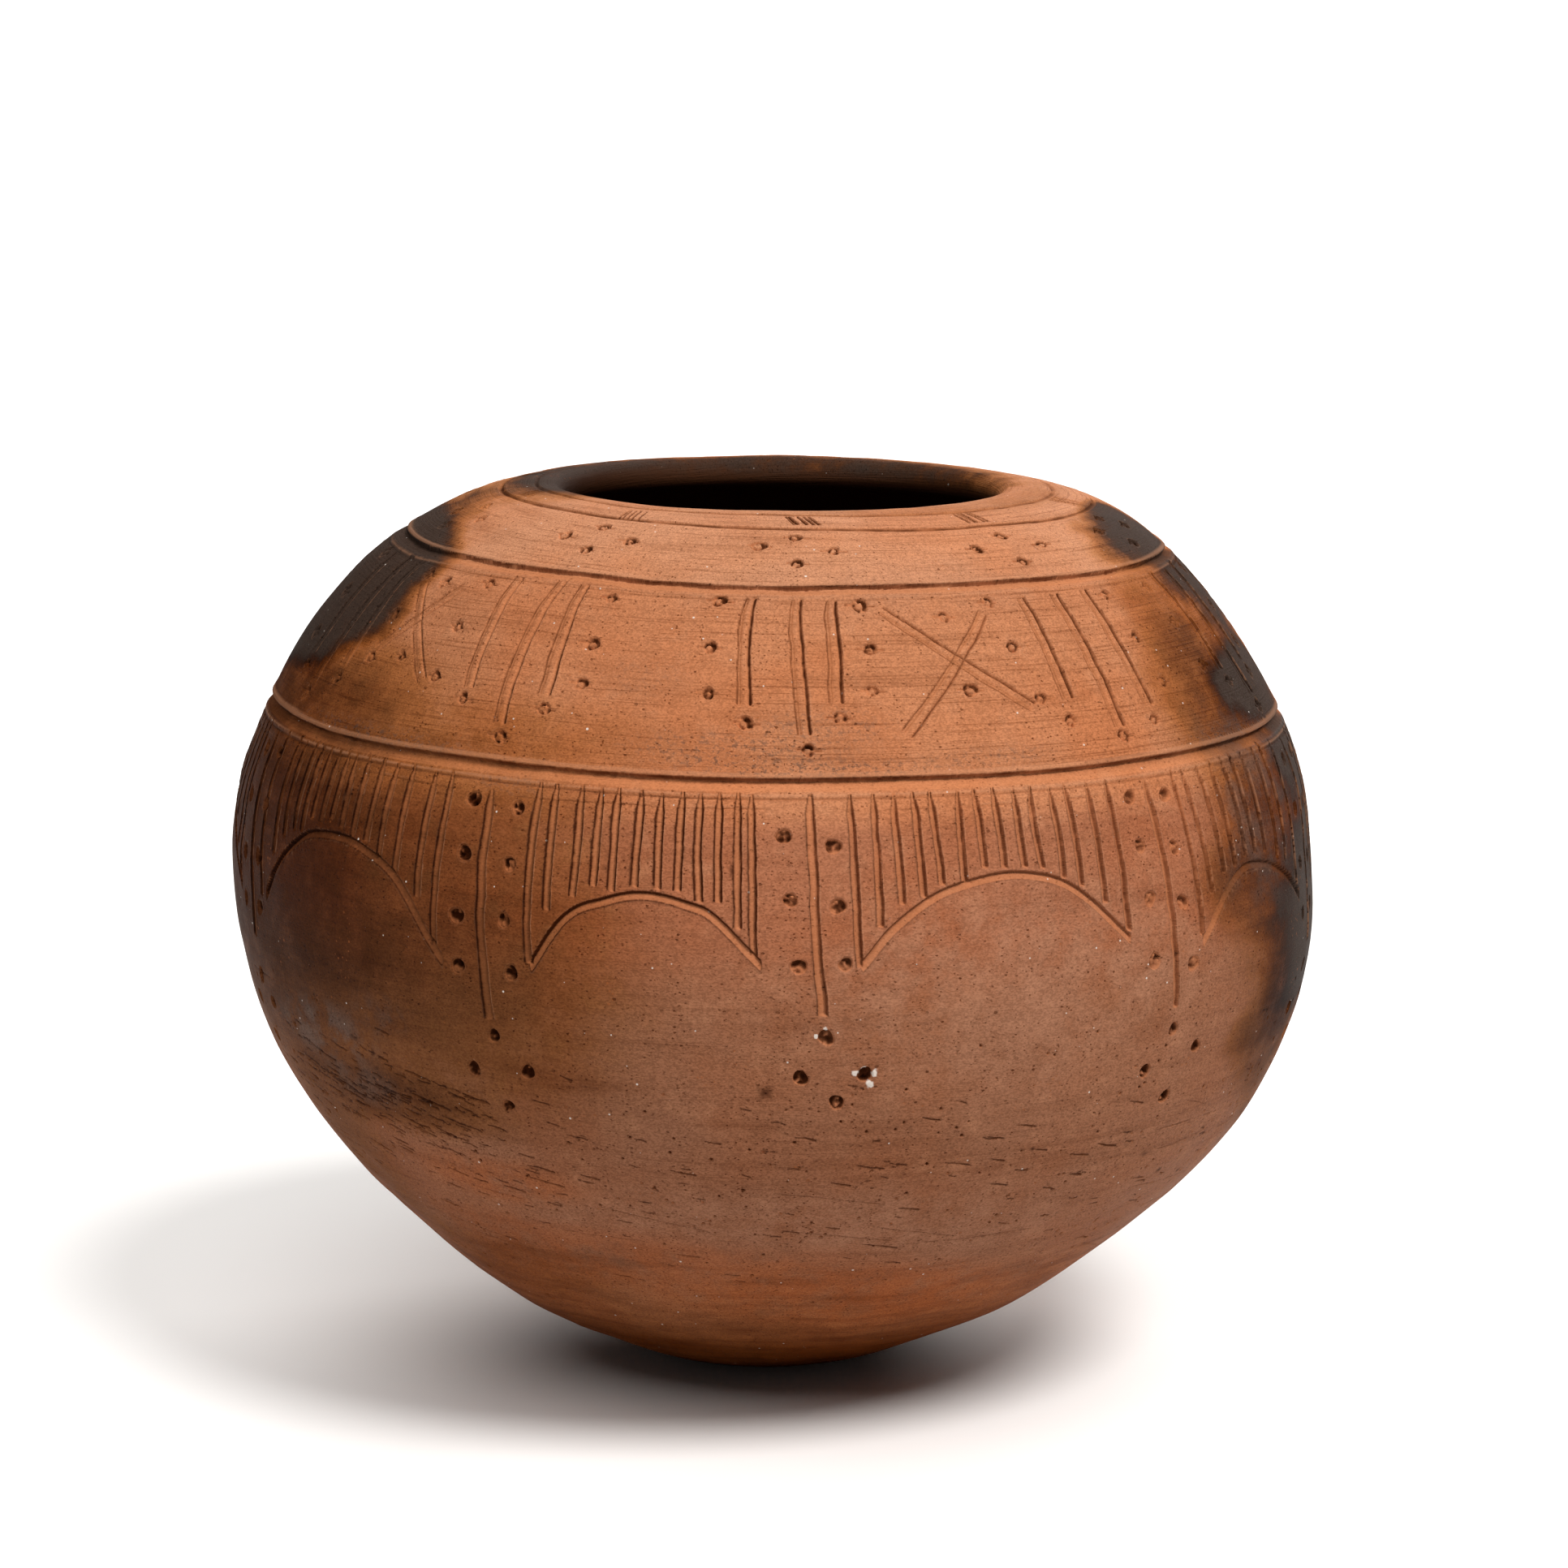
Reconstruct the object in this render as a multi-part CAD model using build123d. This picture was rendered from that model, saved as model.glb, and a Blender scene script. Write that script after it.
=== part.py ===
from build123d import *
import os
from dataclasses import dataclass
from math import radians, sin, sqrt

# A round-bottomed clay pot, built up from a moulded bowl in lapped courses of clay.
# Millimetres, +Z up, the worn foot on Z = 0 and the axis of the pot on Z.

# Outside radius of the wall at the foot and at the widest place
foot_radius = 25.0  # worn flat under the round bottom
belly_radius = 150.0

# How far the wall draws in from the widest place: down to the foot, and up to the lip
mould_inset = 16.0  # edge of the moulded bowl, from the belly
hip_inset = 34.0  # where the round bottom straightens, from the mould's edge
bottom_inset = 36.0  # on the round bottom, from the hip
shoulder_inset = 10.8  # cove between belly and shoulder, from the belly
neck_inset = 33.7  # cove between shoulder and neck, from the cove below
rim_inset = 24.1  # drawn line between neck and rim, from the cove below
lip_inset = 17.4  # crest of the rounded lip, from the drawn line

# Rise from each place to the next
bottom_rise = 15.3
hip_rise = 25.7
mould_rise = 38.0
lower_belly_rise = 57.0
upper_belly_rise = 50.0
shoulder_rise = 44.5
neck_rise = 12.5
rim_rise = 2.5

# Slope of the wall at each place, in degrees: 0 runs outwards, 90 up, 180 inwards
foot_slope = 16.5
bottom_slope = 27.5
hip_slope = 41.0
mould_slope = 59.0
belly_slope = 90.0
shoulder_slope = 115.5
neck_slope = 142.0
rim_slope = 164.0
lip_slope = 180.0

# Thickness of the clay
floor_thickness = 11.0
bottom_thickness = 10.0
hip_thickness = 9.0
wall_thickness = 7.5
lip_thickness = 9.0

# Bevelled joints: how far each course reaches down inside the one below it
joint_lap = 7.0

# Rings drawn into the soft clay
cove_width = 5.6
cove_depth = 1.5
line_width = 2.2
line_depth = 0.9
lip_line_reach = 7.0  # from the crest of the lip out along the wall

# Strokes cut with a stick into the leather-hard clay
stroke_width = 1.9
tally_width = 3.4
stroke_depth = 0.8

# Belly ornament: ten columns spaced by eye, in degrees from the front, with a fringe right of each
column_turns = [-69.5, -29.5, 4.3, 43.3, 75.5, 111, 147, 183, 219, 255]
fringe_counts = [13, 10, 12, 8, 11, 10, 12, 11, 10, 12]
fringe_turn = 4.5  # from a column to the edge of the fringe beside it, in degrees
fringe_drop = 3.6  # from the middle of the shoulder cove to the tops of the strokes
arch_drop = 23.0  # from there to the crown of the arch that closes a fringe
arch_rise = 18.8
arch_gap = 2.5  # between a stroke and the arch below it
column_length = 56.0

# Shoulder ornament: three tally strokes above each column, and a cross above every other fringe
tally_turns = [-5.6, 0, 5.2]  # degrees from the column
tally_lengths = [24.0, 31.0, 24.0]
tally_drop = 3.0  # from the middle of the neck cove to the tops of the strokes
cross_drop = 5.4  # from the middle of the neck cove to the upper ends of a cross
cross_height = 24.5
cross_width = 31.0


@dataclass
class Place:
    # A place on the wall's section, with the way the wall runs there
    radius: float
    height: float
    slope: float
    thickness: float

    @property
    def along(self):
        return Vector(1, 0, 0).rotate(Axis.Y, -self.slope)

    @property
    def outward(self):
        return Vector(0, 0, -1).rotate(Axis.Y, -self.slope)

    @property
    def outside(self):
        return Vector(self.radius, 0, self.height)

    @property
    def inside(self):
        return self.sunk(self.thickness)

    def sunk(self, depth):
        return self.outside - self.outward * depth


mould_radius = belly_radius - mould_inset
hip_radius = mould_radius - hip_inset
bottom_radius = hip_radius - bottom_inset
shoulder_radius = belly_radius - shoulder_inset
neck_radius = shoulder_radius - neck_inset
rim_radius = neck_radius - rim_inset
lip_radius = rim_radius - lip_inset

bottom_height = bottom_rise
hip_height = bottom_height + hip_rise
mould_height = hip_height + mould_rise
belly_height = mould_height + lower_belly_rise
shoulder_height = belly_height + upper_belly_rise
neck_height = shoulder_height + shoulder_rise
rim_height = neck_height + neck_rise
lip_height = rim_height + rim_rise

foot = Place(foot_radius, 0, foot_slope, floor_thickness)
bottom = Place(bottom_radius, bottom_height, bottom_slope, bottom_thickness)
hip = Place(hip_radius, hip_height, hip_slope, hip_thickness)
mould = Place(mould_radius, mould_height, mould_slope, wall_thickness)
belly = Place(belly_radius, belly_height, belly_slope, wall_thickness)
shoulder = Place(shoulder_radius, shoulder_height, shoulder_slope, wall_thickness)
neck = Place(neck_radius, neck_height, neck_slope, wall_thickness)
rim = Place(rim_radius, rim_height, rim_slope, wall_thickness)
lip = Place(lip_radius, lip_height, lip_slope, lip_thickness)

floor_middle = Vector(0, 0, floor_thickness)
foot_middle = Vector(0, 0, 0)
throat = lip.inside + (lip.outside - lip.inside) / 2 + lip.along * lip_thickness / 2


def outer_run(lower, upper, depth=0.0):
    # The outside of the wall between two places, or the same line some depth below it
    return Spline(lower.sunk(depth), upper.sunk(depth), tangents=[lower.along, upper.along])


def inner_run(lower, upper):
    return Spline(lower.inside, upper.inside, tangents=[lower.along, upper.along])


def split_at_joint(lower, upper):
    # The inner run below a joint: what stays with the course below, and the lap of the one above
    run = inner_run(lower, upper)
    joint = 1 - joint_lap / run.length
    return run.trim(0, joint), run.trim(joint, 1)


def joint_line(below, place):
    lap = split_at_joint(below, place)[1]
    return Line(place.outside, lap.position_at(0))


def ring_groove(middle, outward, width, depth):
    # A round-bottomed ring, as wide as the chord that its circle cuts from the wall
    radius = (width**2 / 4 + depth**2) / (2 * depth)
    centre = middle + outward * (radius - depth)
    return Plane.XZ * Pos(centre.X, centre.Z) * Circle(radius)


def bowl_section():
    floor_run = Spline(
        floor_middle, bottom.inside, tangents=[Vector(1, 0, 0), bottom.along]
    )
    return make_face(
        [
            Line(foot_middle, foot.outside),
            outer_run(foot, bottom),
            outer_run(bottom, hip),
            outer_run(hip, mould),
            joint_line(hip, mould),
            split_at_joint(hip, mould)[0],
            inner_run(bottom, hip),
            floor_run,
            Line(floor_middle, foot_middle),
        ]
    )


def course_section(below, lower, upper):
    # Wall from the joint at one place to the joint at the next
    return make_face(
        [
            outer_run(lower, upper),
            joint_line(lower, upper),
            split_at_joint(lower, upper)[0],
            split_at_joint(below, lower)[1],
            joint_line(below, lower),
        ]
    )


def rim_section():
    return make_face(
        [
            outer_run(rim, lip),
            ThreePointArc(lip.outside, throat, lip.inside),
            inner_run(rim, lip),
            split_at_joint(neck, rim)[1],
            joint_line(neck, rim),
        ]
    )


def lip_line_groove():
    run = outer_run(rim, lip)
    reach = 1 - lip_line_reach / run.length
    along = run.tangent_at(reach)
    outward = Vector(along.Z, 0, -along.X)
    return ring_groove(run.position_at(reach), outward, line_width, line_depth)


def core_section():
    # What the stick leaves standing, from the mould's edge to the neck
    low = mould.sunk(stroke_depth)
    high = neck.sunk(stroke_depth)
    axis_low = Vector(0, 0, low.Z)
    axis_high = Vector(0, 0, high.Z)
    return make_face(
        [
            outer_run(mould, belly, stroke_depth),
            outer_run(belly, shoulder, stroke_depth),
            outer_run(shoulder, neck, stroke_depth),
            Line(high, axis_high),
            Line(axis_high, axis_low),
            Line(axis_low, low),
        ]
    )


def cut_at(turn, drawing):
    # A mark drawn on the front of the pot, sunk from outside down to the core and turned to its place
    blade = extrude(Plane.XZ * drawing, amount=belly_radius + cove_depth, dir=(0, -1, 0))
    return Rot(0, 0, turn) * (blade - core)


def upright(width, top, length):
    return Pos(0, top - length / 2) * Rectangle(width, length)


def fringe_marks(left, right, count):
    # Strokes between two edges, and the arch that they stop at
    crown = fringe_top - arch_drop
    middle = (left + right) / 2
    half_width = belly_radius * sin(radians((right - left) / 2))
    arch_radius = (half_width**2 + arch_rise**2) / (2 * arch_rise)
    arch_foot = crown - arch_rise
    arch = ThreePointArc((-half_width, arch_foot), (0, crown), (half_width, arch_foot))
    marks = [cut_at(middle, trace(arch, stroke_width))]
    for turn in (left, right):
        marks.append(cut_at(turn, upright(stroke_width, fringe_top, arch_drop + arch_rise)))
    for i in range(count):
        turn = left + (right - left) * (i + 1) / (count + 1)
        aside = belly_radius * sin(radians(turn - middle))
        fall = arch_radius - sqrt(arch_radius**2 - aside**2)
        length = arch_drop + fall - arch_gap
        marks.append(cut_at(turn, upright(stroke_width, fringe_top, length)))
    return marks


def column_marks():
    line = upright(stroke_width, fringe_top, column_length)
    return [cut_at(turn, line) for turn in column_turns]


def tally_marks():
    marks = []
    for aside, length in zip(tally_turns, tally_lengths):
        stroke = upright(tally_width, neck_height - tally_drop, length)
        marks += [cut_at(turn + aside, stroke) for turn in column_turns]
    return marks


def cross_marks(turn):
    high = neck_height - cross_drop
    low = high - cross_height
    right = cross_width / 2
    strokes = [Line((-right, high), (right, low)), Line((right, high), (-right, low))]
    return [cut_at(turn, trace(stroke, tally_width)) for stroke in strokes]


shoulder_cove = ring_groove(shoulder.outside, shoulder.outward, cove_width, cove_depth)
neck_cove = ring_groove(neck.outside, neck.outward, cove_width, cove_depth)
rim_line = ring_groove(rim.outside, rim.outward, line_width, line_depth)

sections = {
    "base_bowl": bowl_section(),
    "lower_belly_course": course_section(hip, mould, belly),
    "upper_belly_course": course_section(mould, belly, shoulder) - shoulder_cove,
    "shoulder_course": course_section(belly, shoulder, neck) - shoulder_cove - neck_cove,
    "neck_course": course_section(shoulder, neck, rim) - neck_cove - rim_line,
    "rim_coil": rim_section() - rim_line - lip_line_groove(),
}

core = revolve(core_section(), Axis.Z)
fringe_top = shoulder_height - fringe_drop
next_columns = column_turns[1:] + [column_turns[0] + 360]
fringe_edges = [
    (turn + fringe_turn, next_turn - fringe_turn)
    for turn, next_turn in zip(column_turns, next_columns)
]
columns = column_marks()  # their lower ends reach into the course below

marks = {name: [] for name in sections}
marks["lower_belly_course"] += columns
marks["upper_belly_course"] += columns
for (left, right), count in zip(fringe_edges, fringe_counts):
    marks["upper_belly_course"] += fringe_marks(left, right, count)
marks["shoulder_course"] += tally_marks()
for left, right in fringe_edges[::2]:
    marks["shoulder_course"] += cross_marks((left + right) / 2)

os.makedirs("parts", exist_ok=True)
for name, section in sections.items():
    piece = revolve(section, Axis.Z) - marks[name]
    export_step(piece, f"parts/{name}.step")
    print(name, "volume", round(piece.volume), "mm3,", len(marks[name]), "strokes")

print("greatest diameter", round(2 * belly_radius, 1), "mm")
print("height", round(lip_height, 1), "mm")
print("mouth diameter", round(2 * throat.X, 1), "mm")
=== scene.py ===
import math

import bpy
import numpy as np
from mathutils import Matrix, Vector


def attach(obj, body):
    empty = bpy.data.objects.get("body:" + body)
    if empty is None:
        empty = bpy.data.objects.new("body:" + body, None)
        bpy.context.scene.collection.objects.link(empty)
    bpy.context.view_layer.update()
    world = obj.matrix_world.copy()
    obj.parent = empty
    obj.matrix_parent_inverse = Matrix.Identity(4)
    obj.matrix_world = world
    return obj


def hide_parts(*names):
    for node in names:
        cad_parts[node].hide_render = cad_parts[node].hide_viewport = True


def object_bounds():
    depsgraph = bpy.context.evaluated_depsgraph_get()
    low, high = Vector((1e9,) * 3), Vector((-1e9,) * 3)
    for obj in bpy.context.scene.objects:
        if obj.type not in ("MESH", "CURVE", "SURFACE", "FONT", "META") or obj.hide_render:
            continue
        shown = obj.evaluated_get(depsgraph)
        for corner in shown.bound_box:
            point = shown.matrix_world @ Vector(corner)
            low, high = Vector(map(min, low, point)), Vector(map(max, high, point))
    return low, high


# A fired clay olla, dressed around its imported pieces. Lengths are millimetres until a mesh is made,
# azimuths are degrees from the front (-Y) towards the right (+X).
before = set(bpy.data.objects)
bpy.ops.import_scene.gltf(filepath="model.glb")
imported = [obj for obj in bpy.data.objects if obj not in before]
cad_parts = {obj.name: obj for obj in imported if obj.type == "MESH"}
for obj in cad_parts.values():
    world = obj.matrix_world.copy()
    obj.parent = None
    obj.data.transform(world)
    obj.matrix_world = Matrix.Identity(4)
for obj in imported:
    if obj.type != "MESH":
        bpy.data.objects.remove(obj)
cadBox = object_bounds()
mm = 0.001
bellyRadius = (cadBox[1].x - cadBox[0].x) / 2 / mm
lipHeight = cadBox[1].z / mm
print("frame loaded:", len(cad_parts), "pieces of clay,", round(2 * bellyRadius), "mm across")


# Section of the wall
# radius, height, slope and thickness of the outside; slope 0 runs outwards, 90 up, 180 inwards
wall = {
    "foot": (25.0, 0.0, 16.5, 11.0),
    "bottom": (64.0, 15.3, 27.5, 10.0),
    "hip": (100.0, 41.0, 41.0, 9.0),
    "mould": (134.0, 79.0, 59.0, 7.5),
    "belly": (bellyRadius, 136.0, 90.0, 7.5),
    "fringe": (146.6, 166.5, 105.0, 7.5),
    "shoulder": (139.2, 186.0, 115.5, 7.5),
    "tally": (128.2, 204.8, 124.5, 7.5),
    "neck": (105.5, 230.5, 142.0, 7.5),
    "rim": (81.4, 243.0, 164.0, 7.5),
    "lip": (64.0, lipHeight, 180.0, 9.0),
}
clay = {
    "floor": 11.0,  # thickness in the middle of the bottom
    "jointLap": 7.0,  # how far a course reaches down inside the one below
    "lumps": 0.45,  # how far the hand-built wall swells and sinks
    "lumpSize": 34.0,
    "dents": 0.10,  # smaller unevenness left by the fingers
    "dentSize": 11.0,
    "flatFoot": 30.0,  # the unevenness grows over this length, so that the foot stays flat
    "trueRim": 0.25,  # what is left of it at the rim, which was drawn true
}
runSteps = 60  # points along one stretch of the section
lipSteps = 40


def direction(slope):
    return np.array([math.cos(math.radians(slope)), math.sin(math.radians(slope))])


def bridge(t, start, end, leaving, arriving):
    # a smooth curve between two places that leaves and arrives along two given runs
    return ((2 * t**3 - 3 * t**2 + 1) * start + (3 * t**2 - 2 * t**3) * end
            + (t**3 - 2 * t**2 + t) * leaving + (t**3 - t**2) * arriving)


def smoothRun(lower, upper):
    start, end = np.array(lower[:2]), np.array(upper[:2])
    reach = np.linalg.norm(end - start)
    t = np.linspace(0, 1, runSteps)[:, None]
    return bridge(t, start, end, reach * direction(lower[2]), reach * direction(upper[2]))


def joinRuns(places):
    runs = [smoothRun(lower, upper)[:-1] for lower, upper in zip(places, places[1:])]
    return np.concatenate(runs + [np.array([places[-1][:2]])])


def arcLength(points):
    return np.r_[0, np.cumsum(np.linalg.norm(np.diff(points, axis=0), axis=1))]


def insideOf(place):
    radius, height, slope, thickness = place
    along = direction(slope)
    return (radius - along[1] * thickness, height + along[0] * thickness, slope)


outline = joinRuns(list(wall.values()))
lipRadius = wall["lip"][3] / 2
lipTurn = np.linspace(0, math.pi, lipSteps)[1:]
lipCurve = np.c_[wall["lip"][0] - lipRadius * np.sin(lipTurn),
                 lipHeight - lipRadius * (1 - np.cos(lipTurn))]
outline = np.concatenate([outline, lipCurve])
outlineRise = arcLength(outline)
outlineRise -= outlineRise[list(wall).index("shoulder") * (runSteps - 1)]  # 0 on the shoulder cove
riseOf = {name: outlineRise[i * (runSteps - 1)] for i, name in enumerate(wall)}
riseOf["throat"] = outlineRise[-1]
outlineLean = np.gradient(outline, outlineRise, axis=0)
outlineLean /= np.linalg.norm(outlineLean, axis=1)[:, None]

innerNames = [name for name in wall if name not in ("foot", "fringe", "tally")]
innerOutline = joinRuns([(0.0, clay["floor"], 0.0)] + [insideOf(wall[name]) for name in innerNames])
innerRise = arcLength(innerOutline)
innerOf = {name: innerRise[(i + 1) * (runSteps - 1)] for i, name in enumerate(innerNames)}


def radiusAt(rise):
    return np.interp(rise, outlineRise, outline[:, 0])


def degreeAt(rise):
    # how long a degree round the pot is there
    return math.radians(1) * float(radiusAt(rise))


def wallAt(rise):
    height = np.interp(rise, outlineRise, outline[:, 1])
    leanOut = np.interp(rise, outlineRise, outlineLean[:, 0])
    leanUp = np.interp(rise, outlineRise, outlineLean[:, 1])
    return radiusAt(rise), height, leanUp, -leanOut  # the last two point out of the wall


# The maker drew the rings by eye, lower on the right than on the left
askew = {
    "rise": [-250, -60, 0, 56, 84, 95, 101],
    "drop": [1.6, 1.8, 2.2, 3.4, 5.0, 3.6, 2.5],
}
askewMost = max(askew["drop"]) + 0.5


def ornamentRise(azimuth, rise):
    return rise + np.interp(rise, askew["rise"], askew["drop"]) * np.sin(np.radians(azimuth))


# Unrolled wall, a sheet of clay that the tools press into
sheet = {"columns": 6144, "rowStep": 0.15}
sheetRows = int((riseOf["throat"] - riseOf["foot"]) / sheet["rowStep"]) + 2
relief = np.zeros((sheetRows, sheet["columns"]), np.float32)
# painted shade in the cuts, kept on a sheet of its own
cutShadeSheet = np.zeros_like(relief)


def roughTile(size, softness, seed):
    # a square of random grain that repeats without a seam
    grain = np.random.default_rng(seed).normal(size=(size, size))
    waves = np.fft.fftfreq(size)
    keep = np.exp(-2 * (math.pi * softness) ** 2 * (waves[:, None] ** 2 + waves[None, :] ** 2))
    soft = np.fft.ifft2(np.fft.fft2(grain) * keep).real
    return (soft / soft.std()).astype(np.float32)


grit = roughTile(512, 2.0, 3)
crumble = roughTile(512, 3.0, 4)


def cellsBetween(azimuthLow, azimuthHigh, low, high):
    # rows and columns of a patch of the sheet, with the azimuth and ornament height of its cells
    first = int((low - askewMost - riseOf["foot"]) / sheet["rowStep"])
    last = int((high + askewMost - riseOf["foot"]) / sheet["rowStep"]) + 1
    rows = np.arange(max(0, first), min(sheetRows, last))
    perDegree = sheet["columns"] / 360
    left, right = (azimuthLow + 180) * perDegree, (azimuthHigh + 180) * perDegree
    columns = np.arange(math.floor(left), math.ceil(right))
    azimuth = columns[None, :] / perDegree - 180
    drawn = ornamentRise(azimuth, riseOf["foot"] + rows[:, None] * sheet["rowStep"])
    return rows, columns % sheet["columns"], azimuth, drawn


def cellsRound(points, spare):
    # the patch that reaches past the points by the spare length
    azimuths, heights = np.array(points).T
    aside = spare / degreeAt(heights.mean())
    return cellsBetween(azimuths.min() - aside, azimuths.max() + aside,
                        heights.min() - spare, heights.max() + spare)


def press(rows, columns, height):
    # cuts deepen what is there, and a burr stands only where nothing is cut
    spot = np.ix_(rows, columns)
    old = relief[spot]
    raised = np.where(old < 0, old, np.maximum(old, height))
    relief[spot] = np.where(height < 0, np.minimum(old, height), raised)


def cutShade(rows, columns, amount):
    # painted shade: where two marks meet, the darker stays
    spot = np.ix_(rows, columns)
    cutShadeSheet[spot] = np.maximum(cutShadeSheet[spot], amount)


def tileAt(tile, rows, columns):
    return tile[np.ix_(rows % len(tile), columns % len(tile))]


def unevenAlong(share, count, spread, rng):
    return np.interp(share, np.linspace(0, 1, count), rng.normal(0, spread, count))


# Tools, as sections across the stroke: right of a stroke drawn downwards is positive
# the list after the heights is painted shade along the cut, strongest on the walls that lie in shade and in
# the bottom of narrow cuts, and start is how wide the stroke begins
tools = {
    "fringe": {"across": [-1.45, -1.15, -0.95, -0.75, 0.1, 0.35, 0.65, 0.98, 1.15, 1.5],
               "height": [0, 0.14, 0.05, -0.30, -0.75, -1.20, -1.20, -0.05, 0.20, 0],
               "cutShade": [0, 0.8, 0.9, 0.3, 0, 0.2, 1, 0.9, 0, 0],
               "drift": 0.10, "uneven": 0.06, "start": 0.4},
    "column": {"across": [-1.75, -1.4, -1.2, -1.0, 0.2, 0.5, 0.85, 1.18, 1.35, 1.7],
               "height": [0, 0.16, 0.06, -0.40, -0.75, -1.20, -1.20, -0.05, 0.20, 0],
               "cutShade": [0, 0.8, 1, 0.4, 0, 0.2, 1, 0.9, 0, 0],
               "drift": 0.12, "uneven": 0.04, "start": 0.5},
    "arch": {"across": [-1.75, -1.4, -1.2, -1.0, 0.25, 0.5, 0.75, 1.06, 1.2, 1.5],
             "height": [0, 0.14, 0.05, -0.35, -0.70, -1.10, -1.10, -0.05, 0.14, 0],
             "cutShade": [0, 0.5, 0.7, 0.2, 0, 0.3, 1, 0.8, 0, 0],
             "drift": 0.08, "uneven": 0.03, "start": 1.0},
    "tally": {"across": [-2.4, -2.15, -1.9, -1.65, -1.4, -1.15, -0.85, -0.6, 0.5, 0.8, 1.05, 1.35, 1.65,
                         1.85, 2.2],
              "height": [0, 0.08, -0.5, -0.5, 0, -0.42, -0.42, -0.08, -0.2, -0.35, -1.1, -1.1, -0.05,
                         0.18, 0],
              "cutShade": [0, 0, 0.8, 0.7, 0, 0.55, 0.5, 0, 0, 0, 0.9, 1, 0.5, 0, 0],
              "drift": 0.12, "uneven": 0.12, "start": 0.9},
    "cross": {"across": [-2.2, -1.95, -1.7, -1.5, -1.25, -1.0, -0.7, -0.5, 0.6, 0.85, 1.05, 1.3, 1.6,
                         1.8, 2.2],
              "height": [0, 0.08, -0.5, -0.5, -0.05, -0.4, -0.4, -0.1, -0.14, -0.2, -0.75, -0.75, 0,
                         0.12, 0],
              "cutShade": [0, 0, 0.8, 0.7, 0, 0.5, 0.45, 0, 0, 0, 0.8, 0.8, 0.2, 0, 0],
              "drift": 0.10, "uneven": 0.10, "start": 0.9},
    "hatch": {"across": [-0.8, -0.55, -0.1, 0.35, 0.55, 0.8], "height": [0, 0.08, -0.6, -0.6, 0.1, 0],
              "cutShade": [0, 0, 0.7, 1, 0, 0], "drift": 0.05, "uneven": 0.15, "start": 0.8},
    "scratch": {"across": [-0.45, -0.28, 0.0, 0.3, 0.45], "height": [0, 0.02, -0.26, 0.03, 0],
                "cutShade": [0, 0, 0.7, 0, 0], "drift": 0.12, "uneven": 0.45, "start": 0.6},
    "gash": {"across": [-0.6, -0.38, 0.0, 0.4, 0.6], "height": [0, 0.02, -0.45, 0.03, 0],
             "cutShade": [0, 0.2, 1, 0.2, 0], "drift": 0.16, "uneven": 0.40, "start": 0.6},
}
stroke = {"spare": 1.5, "opensOver": 4.5, "endsOver": 0.7, "shadePast": 0.4,  # lengths along a stroke
          "driftEvery": 4, "unevenEvery": 1.6, "widthUneven": 0.05, "patchy": 0.12, "ragged": 0.03}
archPull = {"steps": 90, "driftKnots": 14, "unevenKnots": 30, "ragged": 0.015, "roundEnd": 2.0}


def pressStroke(start, end, tool, rng, bow=0.0, weight=1.0):
    perDegree = degreeAt((start[1] + end[1]) / 2)
    run = np.array([(end[0] - start[0]) * perDegree, end[1] - start[1]])
    length = np.linalg.norm(run)
    run /= length
    rows, columns, azimuth, drawn = cellsRound([start, end], tool["across"][-1] + stroke["spare"])
    right, up = (azimuth - start[0]) * perDegree, drawn - start[1]
    along = right * run[0] + up * run[1]
    across = up * run[0] - right * run[1]
    share = np.clip(along / length, 0, 1)
    knots = max(3, int(length / stroke["driftEvery"]))
    across = across - unevenAlong(share, knots, tool["drift"], rng) - 4 * bow * share * (1 - share)
    growing = np.interp(share * length, [0, stroke["opensOver"]], [tool["start"], 1])
    across = across / growing / (1 + unevenAlong(share, knots, stroke["widthUneven"], rng))
    across = across + stroke["ragged"] * tileAt(grit, rows, columns)
    beyond = np.maximum(np.maximum(-along, along - length), 0)
    ending = np.clip(1 - beyond / stroke["endsOver"], 0, 1)
    height = np.interp(across, tool["across"], tool["height"]) * ending
    knots = max(4, int(length / stroke["unevenEvery"]))
    height *= weight * growing * (1 + unevenAlong(share, knots, tool["uneven"], rng))
    press(rows, columns, height)
    patchy = np.clip(1 + unevenAlong(share, knots, stroke["patchy"], rng), 0, 1)
    # painted shade along the stroke, in patches, ending a little past its ends
    dirt = np.interp(across, tool["across"], tool["cutShade"])
    cutShade(rows, columns, dirt * patchy * (beyond < stroke["shadePast"]))


def pressArch(points, tool, rng):
    # a swept line through the given points, drawn in one pull
    points = np.array(points)
    along = np.linspace(0, len(points) - 1, archPull["steps"])
    left = np.clip(along.astype(int), 0, len(points) - 2)
    bend = np.gradient(points, axis=0)
    path = bridge((along - left)[:, None], points[left], points[left + 1], bend[left], bend[left + 1])
    perDegree = degreeAt(points[:, 1].mean())
    rows, columns, azimuth, drawn = cellsRound(points, tool["across"][-1] + stroke["spare"])
    steep = np.gradient(path[:, 1], path[:, 0] * perDegree)
    middle = np.interp(azimuth, path[:, 0], path[:, 1])
    square = 1 / np.sqrt(1 + np.interp(azimuth, path[:, 0], steep) ** 2)
    first, last = points[0, 0], points[-1, 0]
    share = np.interp(azimuth, [first, last], [0, 1])
    across = (drawn - middle) * square - unevenAlong(share, archPull["driftKnots"], tool["drift"], rng)
    across += archPull["ragged"] * tileAt(grit, rows, columns)
    beyond = np.maximum(np.maximum(first - azimuth, azimuth - last), 0) * perDegree
    across = np.where(across < 0, -1, 1) * np.hypot(across, archPull["roundEnd"] * beyond)
    height = np.interp(across, tool["across"], tool["height"])
    height *= 1 + unevenAlong(share, archPull["unevenKnots"], tool["uneven"], rng)
    press(rows, columns, height)
    # painted shade along the arch, strongest under its upper wall
    cutShade(rows, columns, np.interp(across, tool["across"], tool["cutShade"]))


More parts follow.
